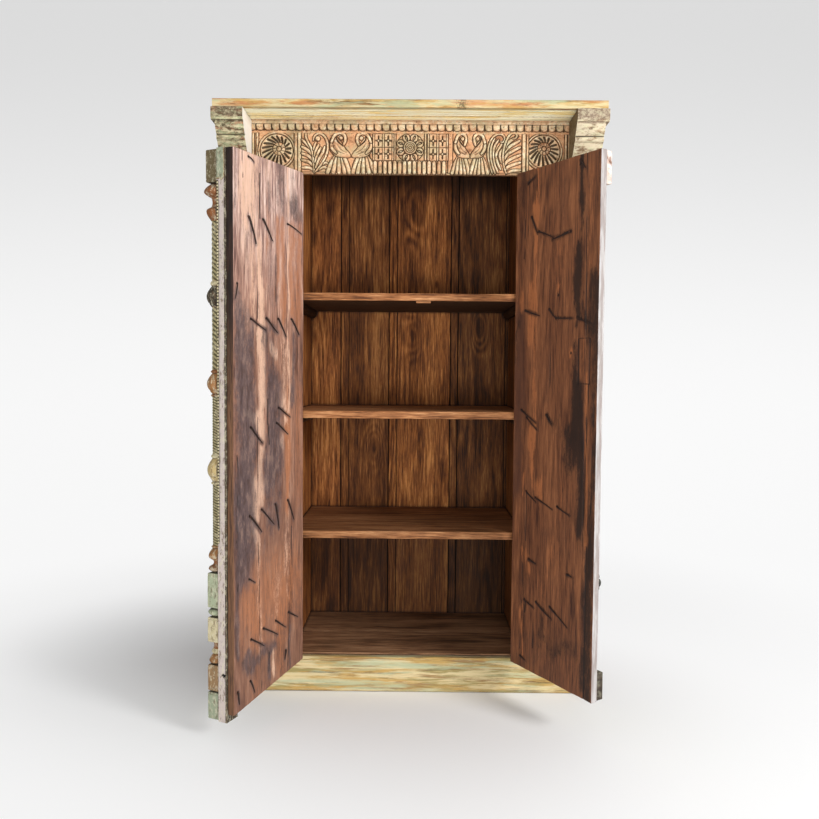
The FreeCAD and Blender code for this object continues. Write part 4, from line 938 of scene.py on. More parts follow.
# ---------------------------------------------------------------- leaves
# Stains of the inner faces: (u, z, u, z, half width, strength) of a soft stripe.
DARK = {
    -1: [(122, 1535, 130, 1630, 24, 0.55), (20, 1502, 66, 1524, 18, 0.75), (185, 1505, 186, 1548, 15, 0.5),
         (290, 1365, 286, 1400, 15, 0.5), (146, 1240, 148, 1350, 8, 0.5), (176, 1250, 180, 1370, 20, 0.45),
         (300, 950, 296, 1120, 34, 0.8), (327, 1010, 322, 1210, 19, 0.75), (270, 1060, 266, 1140, 13, 0.6),
         (190, 985, 200, 1120, 24, 0.5), (152, 1010, 160, 1080, 22, 0.5), (205, 1140, 150, 1150, 16, 0.5),
         (62, 940, 60, 1140, 12, 0.75), (20, 600, 18, 1180, 24, 0.35), (298, 690, 290, 930, 42, 0.9),
         (262, 790, 262, 860, 20, 0.6), (322, 480, 320, 700, 24, 0.75), (180, 740, 166, 950, 30, 0.85),
         (140, 790, 136, 950, 22, 0.65), (186, 600, 190, 740, 26, 0.6), (140, 600, 126, 780, 22, 0.55),
         (296, 490, 292, 640, 38, 0.8), (256, 520, 262, 600, 13, 0.5), (333, 250, 331, 470, 13, 0.75),
         (300, 205, 150, 227, 14, 0.75), (186, 146, 181, 204, 7, 0.85), (76, 130, 73, 240, 8, 0.6),
         (216, 330, 211, 540, 8, 0.4), (338, 1480, 333, 1625, 8, 0.5), (60, 1560, 64, 1640, 10, 0.4)],
    1: [(270, 1300, 269, 1383, 13, 0.95), (266, 1262, 262, 1328, 17, 0.85), (276, 1190, 272, 1290, 12, 0.85),
        (270, 830, 271, 1003, 20, 0.95), (258, 850, 285, 940, 18, 0.6), (292, 600, 289, 850, 18, 0.9),
        (242, 772, 232, 850, 15, 0.55), (339, 500, 341, 1290, 13, 0.7), (332, 1190, 322, 1290, 15, 0.7),
        (302, 1182, 340, 1152, 18, 0.6), (277, 1500, 275, 1645, 11, 0.95), (278, 1440, 276, 1500, 9, 0.6),
        (345, 1480, 342, 1640, 10, 0.5), (334, 130, 333, 560, 18, 0.8), (313, 130, 315, 420, 12, 0.5),
        (258, 1020, 262, 1110, 12, 0.6), (60, 240, 55, 470, 8, 0.5), (130, 230, 140, 290, 17, 0.5),
        (165, 225, 278, 240, 18, 0.5), (200, 858, 250, 850, 22, 0.45), (20, 1560, 25, 1640, 28, 0.4),
        (300, 640, 302, 780, 12, 0.5), (310, 1010, 312, 1125, 14, 0.35), (160, 888, 172, 880, 9, 0.5),
        (10, 1100, 24, 1200, 11, 0.5)],
}
LIGHT = {
    -1: [(270, 1500, 273, 1600, 38, 0.75), (222, 700, 222, 950, 16, 0.75), (222, 950, 223, 1130, 19, 1.0),
         (225, 1130, 228, 1400, 14, 0.8), (84, 900, 84, 1640, 5, 0.75), (84, 300, 84, 900, 4, 0.4),
         (290, 901, 228, 886, 11, 0.9), (100, 885, 101, 886, 11, 0.9), (118, 834, 119, 837, 12, 0.9),
         (252, 575, 250, 690, 21, 0.8), (165, 150, 163, 210, 7, 0.8), (302, 1340, 305, 1640, 22, 0.5),
         (262, 1160, 266, 1370, 13, 0.5), (110, 950, 108, 1120, 20, 0.45), (140, 955, 110, 935, 11, 0.7),
         (172, 1112, 150, 1072, 9, 0.8), (150, 300, 140, 420, 20, 0.35), (100, 420, 100, 560, 11, 0.45),
         (190, 1580, 192, 1640, 20, 0.4), (228, 240, 234, 560, 11, 0.4)],
    1: [(94, 900, 93, 1640, 7, 0.6), (93, 1400, 92, 1530, 8, 0.9), (80, 1132, 81, 1290, 13, 0.75),
        (86, 762, 85, 850, 12, 0.85), (118, 694, 124, 705, 13, 0.75), (82, 422, 81, 440, 11, 0.85),
        (56, 160, 54, 320, 6, 0.85), (57, 650, 56, 720, 6, 0.75), (314, 550, 311, 1000, 7, 0.75),
        (190, 1256, 190, 1259, 8, 1.0), (245, 1089, 245, 1092, 8, 0.9), (26, 1230, 35, 1245, 13, 0.7),
        (98, 700, 100, 900, 6, 0.7), (200, 500, 215, 700, 22, 0.3), (200, 1330, 190, 1420, 26, 0.3),
        (150, 370, 170, 520, 18, 0.35), (62, 480, 55, 490, 10, 0.6), (322, 485, 318, 560, 5, 0.6),
        (310, 1310, 309, 1620, 16, 0.3), (297, 1012, 297, 1120, 13, 0.4)],
}
# A second tone: tan on the left leaf, dusky brown on the right one.
TINGE = {
    -1: [(66, 1240, 70, 1470, 17, 0.75), (108, 1200, 112, 1450, 15, 0.75), (144, 1260, 142, 1460, 12, 0.7),
         (25, 1180, 28, 1475, 24, 0.65), (196, 1400, 190, 1500, 14, 0.5), (90, 640, 90, 960, 15, 0.85),
         (60, 390, 290, 390, 70, 0.6), (28, 650, 28, 950, 24, 0.55), (130, 120, 130, 280, 40, 0.4),
         (250, 120, 250, 270, 40, 0.4), (262, 1170, 262, 1330, 16, 0.4), (205, 1230, 200, 1380, 10, 0.4)],
    1: [(28, 700, 30, 1200, 30, 0.85), (150, 960, 160, 1140, 26, 0.4), (200, 1480, 210, 1630, 30, 0.4),
        (150, 560, 240, 580, 30, 0.4), (220, 130, 100, 180, 40, 0.4)],
}
# Cracks and splits: (u, z, u, z, half width).
CRACKS = {
    -1: [(226, 1463, 226, 1588, 2.6), (190, 880, 189, 952, 3.2), (182, 820, 187, 880, 3.0),
         (330, 770, 333, 802, 2.4), (148, 1236, 150, 1300, 1.4), (238, 1180, 236, 1300, 1.2),
         (236, 560, 238, 900, 1.1), (222, 100, 236, 560, 1.2), (84, 130, 76, 300, 1.6), (185, 150, 181, 205, 2.0),
         (331, 425, 330, 442, 3.0), (62, 320, 66, 560, 1.0), (305, 1560, 309, 1640, 1.0), (115, 130, 119, 150, 1.2),
         (336, 560, 330, 690, 1.2)],
    1: [(318, 110, 319, 550, 2.6), (303, 550, 316, 1000, 1.4), (276, 1003, 275, 1130, 2.2),
        (318, 1003, 320, 1130, 2.0), (275, 1003, 319, 1003, 1.6), (275, 1130, 320, 1129, 1.4),
        (303, 1130, 296, 1642, 1.4), (66, 520, 64, 670, 2.0), (46, 180, 54, 470, 1.2), (104, 200, 106, 460, 1.0),
        (66, 300, 68, 330, 2.6), (40, 1380, 44, 1500, 1.2), (286, 1180, 292, 1260, 1.2), (332, 640, 338, 950, 1.2),
        (160, 960, 163, 1150, 0.9), (190, 1257, 191, 1259, 4.0), (245, 1090, 246, 1092, 4.0),
        (268, 1612, 274, 1618, 4.0)],
}
# Clenched nails: where the tail leaves the wood (u, z), where it ends (u, z), and its thickness.
NAILS = {
    -1: [(280, 1622, 256, 1612, 4), (281, 1459, 247, 1388, 7), (212, 1463, 168, 1409, 6), (88, 1471, 15, 1453, 4),
         (331, 1270, 341, 1228, 4), (270, 1178, 201, 1150, 5), (197, 1185, 142, 1145, 6), (138, 1187, 98, 1135, 6),
         (68, 1190, 28, 1145, 6), (135, 925, 76, 894, 5), (272, 875, 218, 826, 6), (145, 880, 88, 843, 5),
         (278, 625, 222, 570, 6), (220, 635, 160, 582, 5), (152, 640, 134, 565, 6), (87, 643, 55, 578, 6),
         (280, 446, 253, 430, 4), (272, 271, 210, 233, 5), (212, 285, 142, 246, 5), (150, 290, 98, 255, 5),
         (83, 297, 33, 269, 5), (275, 152, 257, 112, 5), (333, 141, 327, 105, 6), (97, 183, 104, 157, 6)],
    1: [(55, 1603, 86, 1617, 6), (72, 1500, 99, 1448, 5), (104, 1452, 168, 1426, 5), (237, 1434, 166, 1421, 7),
        (270, 1625, 292, 1598, 5), (50, 1222, 115, 1203, 6), (155, 1220, 182, 1193, 5), (182, 1193, 250, 1189, 5),
        (268, 1190, 320, 1172, 4), (38, 920, 104, 885, 5), (62, 898, 112, 862, 4), (150, 911, 174, 885, 6),
        (64, 673, 112, 645, 4), (106, 659, 182, 634, 4), (200, 646, 252, 628, 4), (82, 466, 114, 459, 6),
        (246, 456, 266, 453, 6), (64, 338, 106, 324, 5), (116, 344, 182, 311, 5), (177, 344, 252, 302, 5),
        (48, 158, 72, 151, 5)],
}
# How far the hewn waves and the cracks go into the inner face.
HEWN_DEPTH, CRACK_DEPTH = 0.55, 2.2
# A nail's tail and head: numbers of sides, and (v from what it lies on, radius) of the head's rings.
NAIL_SIDES, HEAD_SIDES = 6, 8
NAIL_HEAD = ((0.5, 7.6), (-1.2, 7.2), (-3.0, 5.2), (-4.2, 2.2))
# Battens on the outer face: heights of their middles, half their height, and the first u of battens and ledges.
BATTENS, BATTEN_HALF, LEDGE_U = (1440, 1190, 900, 635, 295), 29, 32.0
# What a nail's head lies on up to CARRIER_END: (lowest z, highest z, how far it stands proud).
CARRIERS = (*((z - BATTEN_HALF, z + BATTEN_HALF, 19) for z in BATTENS), (1553, 1645, 26), (60, 205, 30))
CARRIER_END = 306


def stripes(u, z, table):
    """Sharp-sided marks: 1 along each (u, z, u, z, half width) line."""
    best = np.zeros(u.shape)
    for *line, half in table:
        best = np.maximum(best, smooth(line_gap(u, z, *line), half * 1.35, half * 0.45))
    return best


def stains(u, z, table, seed):
    """Soft marks that run into one another, from 0 to 1, with wandering borders."""
    drift_u = u + (layered_noise(u / 26, z / 95, seed, 4) - 0.5) * 30
    drift_z = z + (layered_noise(u / 22, z / 60, seed + 5) - 0.5) * 90
    clear = np.ones(u.shape)
    for *line, half, strength in table:
        clear *= 1 - strength * np.exp(-0.8 * (line_gap(drift_u, drift_z, *line, 0.5) / half) ** 2)
    return 1 - clear


def leaf_span(side, u):
    """Heights of the leaf's lower and upper edges at u."""
    return edge_line(LEAF_BOTTOM, BOTTOM_DROP[side], u), edge_line(LEAF_TOP, TOP_DROP[side], u)


def leaf_piece(side, part, points, faces, material, slot, node=None, attributes=None, sharp=38):
    """Piece on a leaf, from leaf coordinates, in the place of the leaf's node where one is named."""
    leaf = SIDE_WORD[side] + "_leaf"
    obj = crease(make_mesh(leaf + "_" + part, points, faces, attributes), sharp)
    mount(obj, leaf, material, [leaf + "_" + node] if node else (), leaf_matrix(side))


def plank(side, part, u0, u1, material):
    """Plank in leaf coordinates with a hand-hewn inner face, cracks, softened edges and its stains as masks."""
    length = LEAF_TOP - LEAF_BOTTOM
    points, faces = block_surface(marks(u0, u1, 3.2), marks(0, PLANK, 6.0, 4.0), marks(0, length, 3.6))
    lead = (points[:, 0] > LEAD_U - 0.3).astype(float)
    u, v, t = rounded(points, (u0, 0, 0), (u1, PLANK, length), 2.4).T
    low, high = leaf_span(side, u)
    z = low + t / length * (high - low)
    inner = smooth(v, PLANK * 0.55, PLANK * 0.9)
    cracks = stripes(u, z, CRACKS[side]) * inner
    halo = np.zeros(len(u))
    for *tail, thick in NAILS[side]:
        cracks = np.maximum(cracks, smooth(np.hypot(u - tail[0], z - tail[1]), 6.0, 2.5) * inner * 0.9)
        halo = np.maximum(halo, stripes(u, z, [(*tail, thick * 1.5)]) * 0.5)
    masks = {"dark": 1 - (1 - stains(u, z, DARK[side], 61 + side)) * (1 - halo),
             "light": stains(u, z, LIGHT[side], 71 + side) * (1 - halo),
             "tinge": stains(u, z, TINGE[side], 81 + side), "crack": cracks, "lead": lead}
    hewn = layered_noise(u / 34, z / 150, 11 + side) * 1.5 + layered_noise(u / 7, z / 90, 3 + side, 2) * 0.7
    v = v - inner * hewn * HEWN_DEPTH - cracks * CRACK_DEPTH
    v = v + (1 - inner) * layered_noise(u / 30, z / 110, 21, 2) * 0.5
    ends = smooth(np.abs(t / length - 0.5), 0.492, 0.5)
    z = z - np.sign(t - length / 2) * ends * layered_noise(u / 22, v / 9, 31 + side) * 2.4
    u = u - smooth(u, LEAD_U - 6, LEAD_U) * layered_noise(z / 60, v / 12, 41 + side) * 1.6
    leaf_piece(side, part + "_hewn", np.stack([u, v, z], -1), faces, material, SIDE_WORD[side] + "_planks", part,
               masks, 50)


def bar(path, widths, sides=6, flat=1.0):
    """Closed tapering bar along a path of points: (points, faces)."""
    path = np.array(path, float)
    points = []
    for index, (spot, width) in enumerate(zip(path, widths)):
        ahead = path[min(index + 1, len(path) - 1)] - path[max(index - 1, 0)]
        ahead = ahead / np.linalg.norm(ahead)
        across = np.cross(ahead, (0, 1, 0))
        if np.linalg.norm(across) < 1e-3:
            across = np.array((1.0, 0, 0))
        across = across / np.linalg.norm(across)
        rise = np.cross(across, ahead)
        for k in range(sides):
            turn = 2 * math.pi * (k + 0.5) / sides
            points.append(spot + width / 2 * (across * math.cos(turn) + rise * math.sin(turn) * flat))
    return points, tube(sides, len(path))


def gather(parts):
    """Several (points, faces) as one."""
    points, faces = [], []
    for more, quads in parts:
        first = len(points)
        points += list(more)
        faces += [tuple(first + i for i in quad) for quad in quads]
    return points, faces


def nail_set(side):
    """Forged nails: domed heads on the outer battens, and tails bent over on the inner face."""
    draw = random.Random(17 + side)
    parts = []
    for ru, rz, eu, ez, thick in NAILS[side]:
        root, run = np.array((ru, rz)), np.array((eu - ru, ez - rz), float)
        across = np.array((-run[1], run[0])) / np.hypot(*run)
        bend = draw.uniform(-2.0, 2.0)
        path = [(ru, PLANK - 4, rz), (ru, PLANK + 0.4, rz)]
        widths = [thick, thick * 1.1]
        for share in (0.12, 0.35, 0.6, 0.82, 1.0):
            arch = math.sin(math.pi * share)
            spot = root + run * share + across * bend * arch
            path.append((spot[0], PLANK + 0.5 + 0.9 * arch, spot[1]))
            widths.append(thick * (1.12 - 0.62 * share))
        parts.append(bar(path, widths, NAIL_SIDES, 0.85))
        proud = [deep for low, high, deep in CARRIERS if low <= rz <= high]
        rear = -(proud[0] if proud and ru < CARRIER_END else 0.0)
        head = []
        for v, radius in NAIL_HEAD:
            for turn in turns(HEAD_SIDES):
                wide = radius * draw.uniform(0.93, 1.07)
                head.append((ru + wide * math.cos(turn), rear + v, rz + wide * math.sin(turn)))
        parts.append((head, tube(HEAD_SIDES, len(NAIL_HEAD))))
    leaf_piece(side, "forged_nails", *gather(parts), IRON, "iron", "nails", None, 60)


def leaf_bar(side, node, u1, thick, bottom, top, drop, material, chamfer=0.0):
    """Ledge or batten on the outer face between two heights, whose edges drop towards the leading edge."""
    points, faces = block_surface(marks(LEDGE_U, u1, 8.0), marks(-thick, 0, 5.0, 4.0), marks(0, 1, 0.1, 0.05))
    height = top - bottom
    points[:, 2] *= height
    u, v, w = rounded(points, (LEDGE_U, -thick, 0), (u1, 0, height), 1.8).T
    low, high = edge_line(bottom, drop, points[:, 0]), edge_line(top, drop, points[:, 0])
    if chamfer:
        v = np.maximum(v, -thick + np.clip(chamfer - np.minimum(w, height - w), 0, chamfer))
    w = w + (layered_noise(u / 40, v / 20, 5) - 0.5) * 1.2 * smooth(np.abs(w / height - 0.5), 0.3, 0.5)
    v = v + smooth(v, -thick * 0.6, -thick) * layered_noise(u / 30, w / 22, 6) * 0.9
    leaf_piece(side, node + "_worn", np.stack([u, v, low + w / height * (high - low)], -1), faces, material,
               "ledge_paint", node)


# Turnings of the column from the top down, as in the frame: (kind, height, tint).
CAPITAL = (("block", 91, 0.05), ("bulb", 38, 0.25), ("neck", 25, 0.25), ("pear", 38, 0.25))
BAYS = ((("shaft", 163, 0.45), ("collar", 14, 0.65), ("dome", 58, 0.15)),
        (("shaft", 173, 0.45), ("collar", 9, 0.25), ("dome", 57, 0.35), ("collar", 8, 0.25)),
        (("shaft", 160, 0.45), ("collar", 11, 0.65), ("dome", 65, 0.55), ("collar", 9, 0.65)),
        (("shaft", 171, 0.45), ("collar", 7, 0.35), ("acorn", 34, 0.35), ("neck", 13, 0.25), ("button", 20, 0.25)))
PEDESTAL = (("block", 101, 0.85), ("cushion", 24, 0.85), ("block", 73, 0.65), ("neck", 20, 0.25), ("collar", 14, 0.65))
FOOT = (("flare", 27, 0.35), ("block", 77, 0.75), ("block", 80, 0.95))
# By kind: the largest radius, the share of the height where it is, and the number of lobes.
CRESTS = {"bulb": (32.0, 0.6, 7), "pear": (26.0, 0.28, 6), "dome": (26.5, 0.5, 6), "collar": (16.0, 0.5, 0),
          "neck": (9.5, 0.5, 0), "acorn": (24.0, 0.68, 6), "button": (24.0, 0.5, 8), "cushion": (25.5, 0.5, 7),
          "flare": (23.0, 0.75, 7)}
SHAFT, ROPE_CORE, ROPE_RISE = 12.0, 8.6, 3.6
COLUMN_SIDES, ROW_HEIGHT, BLOCK_GAP, ROPE_TINT = 40, 1.8, 1.5, 0.04
COLUMN_TOP, COLUMN_BOTTOM = LEAF_TOP - TOP_DROP[-1], LEAF_BOTTOM - BOTTOM_DROP[-1] - 22.0
STRIP_U, STRIP_V = LIP_U - 50.0, -30
COLUMN_U, COLUMN_FACE, COLUMN_V = LIP_U - 25.0, -30.0, -50.0
# The strip is pale above the first height, and its row of beads starts at the second.
PALE_Z, BEADS_FROM, BEAD_PITCH = 1547, 560.0, 8.6
PAINTED = "astragal_paint"
# Paint of the column and its strip, by the tint number from which it holds.
TINTS = ((0.0, (98, 86, 60)), (0.1, (194, 180, 174)), (0.14, (54, 46, 36)), (0.2, (128, 80, 46)),
         (0.3, (148, 104, 62)), (0.4, (88, 84, 56)), (0.5, (182, 160, 112)), (0.6, (196, 184, 148)),
         (0.7, (142, 112, 78)), (0.8, (158, 166, 138)), (0.9, (146, 154, 130)))


def turning_radius(kind, share, turn, z, coarse):
    """Radii round the column at a height, share of the way down a turning of this kind."""
    if kind in ("shaft", "block"):
        beads = 13.0 if coarse else 7.5
        return ROPE_CORE + ROPE_RISE * np.sqrt(np.abs(np.sin(2 * turn + math.pi * z / beads)))
    crest, place, lobes = CRESTS[kind]
    phase = share / place if share < place else (1 - share) / (1 - place)
    swell = math.sin(phase * math.pi / 2)
    radius = SHAFT + (crest - SHAFT) * swell
    if not lobes:
        return radius + 0 * turn
    groove = 1 - np.abs(np.cos(lobes * turn)) ** 0.6
    rim = 1 - 0.07 * smooth(abs(share - 0.82), 0.05, 0.0) if kind in ("bulb", "dome") else 1.0
    return radius * rim * (1 - 0.10 * groove * swell)


def column(material):
    """Turned column of the left leaf; its shafts are stretched so that the whole run fills the leaf's edge."""
    run = [*CAPITAL, *(part for bay in BAYS for part in bay), *PEDESTAL, *FOOT]
    shafts = sum(part[1] for part in run if part[0] == "shaft")
    scale = (COLUMN_TOP - COLUMN_BOTTOM - sum(part[1] for part in run) + shafts) / shafts
    rows, tints, ridges = [], [], []
    turn = np.arange(COLUMN_SIDES) * 2 * math.pi / COLUMN_SIDES
    z, bay = COLUMN_TOP, 0
    blocks, block_tints = [], []
    for kind, height, tint in run:
        roped = kind == "shaft"
        height = height * scale if roped else height
        bay += roped
        if kind == "block":
            blocks.append(column_block(z - height + BLOCK_GAP, z - BLOCK_GAP, len(blocks)))
            block_tints += [tint] * len(blocks[-1][0])
        steps = max(4, int(height / ROW_HEIGHT))
        for step in range(steps):
            share = step / steps
            spot = z - height * share
            radius = turning_radius(kind, share, turn, spot, bay <= 2)
            rows.append(np.stack([COLUMN_U + radius * np.cos(turn), COLUMN_V + radius * np.sin(turn),
                                  np.full(COLUMN_SIDES, spot)], -1))
            tints.append(np.full(COLUMN_SIDES, tint + (ROPE_TINT if roped else 0)))
            ridges.append((radius - ROPE_CORE) / ROPE_RISE if roped else np.zeros(COLUMN_SIDES))
        z -= height
    rows.append(rows[-1] + np.array((0, 0, z - rows[-1][0, 2])))
    points = np.concatenate(rows)
    points[:, 1] = np.minimum(points[:, 1], COLUMN_FACE)
    # ridge: height on the rope's twist, which the paint uses for painted highlights.
    masks = {"tint": np.concatenate(tints + tints[-1:]), "ridge": np.concatenate(ridges + ridges[-1:])}
    leaf_piece(-1, "column_turned", points, tube(COLUMN_SIDES, len(rows), flip=True), material, PAINTED,
               "astragal_column", masks, 60)
    leaf_piece(-1, "column_blocks", *gather(blocks), material, PAINTED, None, {"tint": block_tints}, 40)
    points, faces = box_surface((COLUMN_U - 7, COLUMN_V, COLUMN_BOTTOM), (COLUMN_U + 7, COLUMN_FACE, COLUMN_TOP),
                                (5.0, 6.0, 12.0))
    leaf_piece(-1, "column_spine", points, faces, material, PAINTED, None, {"tint": np.full(len(points), 0.45)}, 40)


def column_block(low, high, number):
    """Square block with a carved flower on its outer face and a line round each end."""
    half, out = 23.0, COLUMN_FACE - 40.0
    box = ((COLUMN_U - half, out, low), (COLUMN_U + half, COLUMN_FACE, high))
    points, faces = box_surface(*box, (2.4, 4.0, 2.4))
    u, v, z = rounded(points, *box, 5.5).T
    du, dz = u - COLUMN_U, z - (low + high) / 2
    reach, turn = np.hypot(du, dz), np.arctan2(dz, du)
    petal = np.abs(np.cos(turn * (3 if number % 2 else 4))) ** 0.5
    flower = smooth(reach, 17.5 * petal + 1.5, 12.0 * petal) * smooth(reach, 3.5, 5.0) + smooth(reach, 4.5, 3.0)
    front = smooth(v, out + 4.0, out + 0.5)
    v = v + front * (1 - flower) * 2.4
    groove = smooth(np.abs(np.abs(dz) - (high - low) / 2 + 7.0), 1.8, 0.4)
    away = smooth(v, COLUMN_FACE - 1.0, COLUMN_FACE - 4.0)
    u = u - np.sign(du) * groove * 1.6 * smooth(np.abs(du), half - 4, half - 1) * away
    v = v + groove * front * 1.6
    u = u - np.sign(du) * smooth(np.abs(du), half - 3, half) * layered_noise(z / 14, v / 14, number) * 1.4
    return np.stack([u, v, z], -1), faces


def astragal(material):
    """Cover strip behind the column, with a split paint line, a latch hole and a row of beads along its lip."""
    box = ((STRIP_U, STRIP_V, COLUMN_BOTTOM), (LIP_U, 0, COLUMN_TOP))
    points, faces = box_surface(*box, (6.0, 5.0, 5.0))
    u, v, z = rounded(points, *box, 1.6).T
    lip = smooth(u, LIP_U - 4, LIP_U)
    u = u - lip * layered_noise(z / 26, v / 10, 4, 4) * 1.5
    u = u - lip * smooth(v, -21.0, -26.0) * smooth(z, 552, 558) * smooth(z, PALE_Z, PALE_Z - 6) * 4.4
    v = np.where(u > LEAD_U - 0.4, np.minimum(v, -0.5), v)
    # The latch hole, sunk into the lip; the paint fills it with painted shade.
    hole = smooth(np.hypot(z - 188.0, v + 12.0), 7.0, 5.0)
    u = u - hole * lip * 5.0
    v = v + smooth(v, -26, -30) * layered_noise(z / 40, u / 12, 14) * 0.8
    tint = np.where(z > PALE_Z + 6 * layered_noise(v / 6, 0.0, 3), 0.95, 0.12)
    tint = np.where(v < -29.0, 0.5, tint)
    tint = np.where((v > -6.0) | ((v < -22.0) & (z < PALE_Z) & (z > BEADS_FROM)), 0.16, tint)
    leaf_piece(-1, "astragal_strip", np.stack([u, v, z], -1), faces, material, PAINTED, "astragal_board",
               {"tint": tint, "hole": hole * lip})
    parts, sides, rings = [], 6, 5
    z = BEADS_FROM
    while z < PALE_Z - 2:
        ball = []
        for ring in range(rings):
            lift = math.pi * (ring / (rings - 1) - 0.5)
            for k, turn in enumerate(turns(sides)):
                ball.append((LIP_U - 3.6 + 3.5 * math.cos(lift) * math.cos(turn) + 1e-4 * k,
                             -27.0 + 4.0 * math.cos(lift) * math.sin(turn), z + 3.6 * math.sin(lift)))
        parts.append((ball, tube(sides, rings, 0)))
        z += BEAD_PITCH
    points, faces = gather(parts)
    leaf_piece(-1, "bead_row", points, faces, material, PAINTED, None, {"tint": np.full(len(points), 0.68)}, 70)


def boss(material):
    """Flower boss: two rings of petals round a button."""
    centre_u, centre_z, radius, proud = LEAD_U - 40.0, 450.0, 37.0, 20.0
    sides, rings = 96, 30
    turn = np.arange(sides) * 2 * math.pi / sides
    outer, inner = np.abs(np.cos(4 * turn)) ** 0.5, np.abs(np.sin(4 * turn)) ** 0.6
    edge = 0.86 + 0.14 * outer
    rows = []
    for ring in range(rings):
        share = 1 - ring / (rings - 1)
        dome = math.sqrt(max(0.0, 1 - share ** 9))
        lift = 0.12 + 0.72 * dome + 0.12 * inner * smooth(share, 0.75, 0.45) * smooth(share, 0.16, 0.3)
        lift = lift - 0.10 * (1 - outer) * smooth(share, 0.5, 0.9) + 0.16 * smooth(share, 0.24, 0.12)
        lift = lift - 0.12 * smooth(abs(share - 0.27), 0.05, 0.0) - 0.08 * smooth(abs(share - 0.66), 0.06, 0.0)
        reach = radius * share * (edge if share > 0.6 else 0.86 + (edge - 0.86) * share / 0.6)
        rows.append(np.stack([centre_u + reach * np.cos(turn), -proud * np.clip(lift, 0.02, 1.0),
                              centre_z + reach * np.sin(turn)], -1))
    base = rows[0].copy()
    base[:, 1] = 0.0
    leaf_piece(1, "boss_carved", np.concatenate([base] + rows), tube(sides, rings + 1, 1), material, "boss_paint",
               "boss", None, 60)


def tinted_material():
    """Paint that changes from turning to turning along the column."""
    g = Graph("astragal_paint_worn")
    shade = g.ramp(g.attribute("tint"), *zip(*TINTS), "CONSTANT")
    patch = g.grain(g.space, 0.5, 110.0, 6.0, 0.75)
    shade = g.lay(shade, (206, 198, 172), patch, 0.49, 0.6, 0.6)
    worn = g.noise(g.moved(g.scaled(g.space, (1, 1, 0.4)), (4, 2, 1)), 120.0, 6.0, 0.75)
    shade = g.lay(shade, (98, 76, 54), worn, 0.52, 0.62, 0.7)
    # Painted highlights: cream on the rope's ridges and on sharp edges.
    shade = g.lay(shade, (196, 182, 138), g.attribute("ridge"), 0.72, 0.97, 0.55)
    shade = g.mix(g.math("MULTIPLY", g.edge(0.002), 0.4), shade, (204, 188, 148))
    # Painted shade in recesses and corners.
    shade = g.lay(shade, (44, 34, 24), g.hollow(0.009), 0.92, 0.4, 0.85)
    # Painted shade in the latch hole.
    shade = g.lay(shade, (18, 13, 10), g.attribute("hole"), 0.3, 0.8)
    fine = g.noise(g.space, 260.0, 4.0, 0.7)
    return g.finish(shade, 0.78, g.math("ADD", fine, worn), 0.45, 0.0007, specular=0.3)


def leaves():
    coats = ((ORANGE, 0.42, 0.08, 0.9), (OLIVE, 0.46, 0.07, 0.9), (CREAM, 0.62, 0.05, 0.9), (MINT, 0.34, 0.07, 0.9))
    battens = painted("ledge_paint_worn", "x", 26.0, BROWN, coats, WHITE, 0.25)
    pale = (((206, 180, 166), 0.6, 0.05, 0.9), ((216, 206, 198), 0.6, 0.04, 0.9))
    top_paint = painted("top_ledge_paint", "x", 28.0, (138, 96, 76), pale, WHITE, 0.5)
    grimy = (((84, 74, 62), 0.5, 0.03, 0.9), ((112, 108, 92), 0.4, 0.02, 0.8))
    bottom_paint = painted("bottom_ledge_paint", "x", 29.0, (62, 48, 38), grimy, (150, 138, 116), 0.5)
    dark = (((74, 76, 68), 0.5, 0.02, 0.9), ((58, 66, 58), 0.4, 0.03, 0.9))
    boss_paint = painted("boss_paint_worn", "z", 33.0, (40, 38, 34), dark, (96, 92, 84), 1.0, 0.4)
    tinted = tinted_material()
    for side in (-1, 1):
        planks = leaf_planks(side)
        plank(side, "plank_hinge_side", PLANK_U, JOINT_U[side], planks)
        plank(side, "plank_lead_side", JOINT_U[side], LEAD_U, planks)
        end, short = (STRIP_U, STRIP_U) if side < 0 else (LEAD_U - 8.0, LEAD_U - 26.0)
        leaf_bar(side, "top_ledge", end, 26.0, LEAF_TOP - 90, LEAF_TOP, TOP_DROP[side], top_paint)
        leaf_bar(side, "bottom_ledge", end, 30.0, LEAF_BOTTOM, LEAF_BOTTOM + 78, BOTTOM_DROP[side], bottom_paint)
        for number, centre in enumerate(BATTENS, 1):
            leaf_bar(side, "batten_%d" % number, short, 19.0, centre - BATTEN_HALF, centre + BATTEN_HALF, 0, battens,
                     7.0)
        nail_set(side)
        keep(SIDE_WORD[side] + "_leaf_hinge_eyes", IRON, 0.5)
    astragal(tinted)
    column(tinted)
    boss(boss_paint)


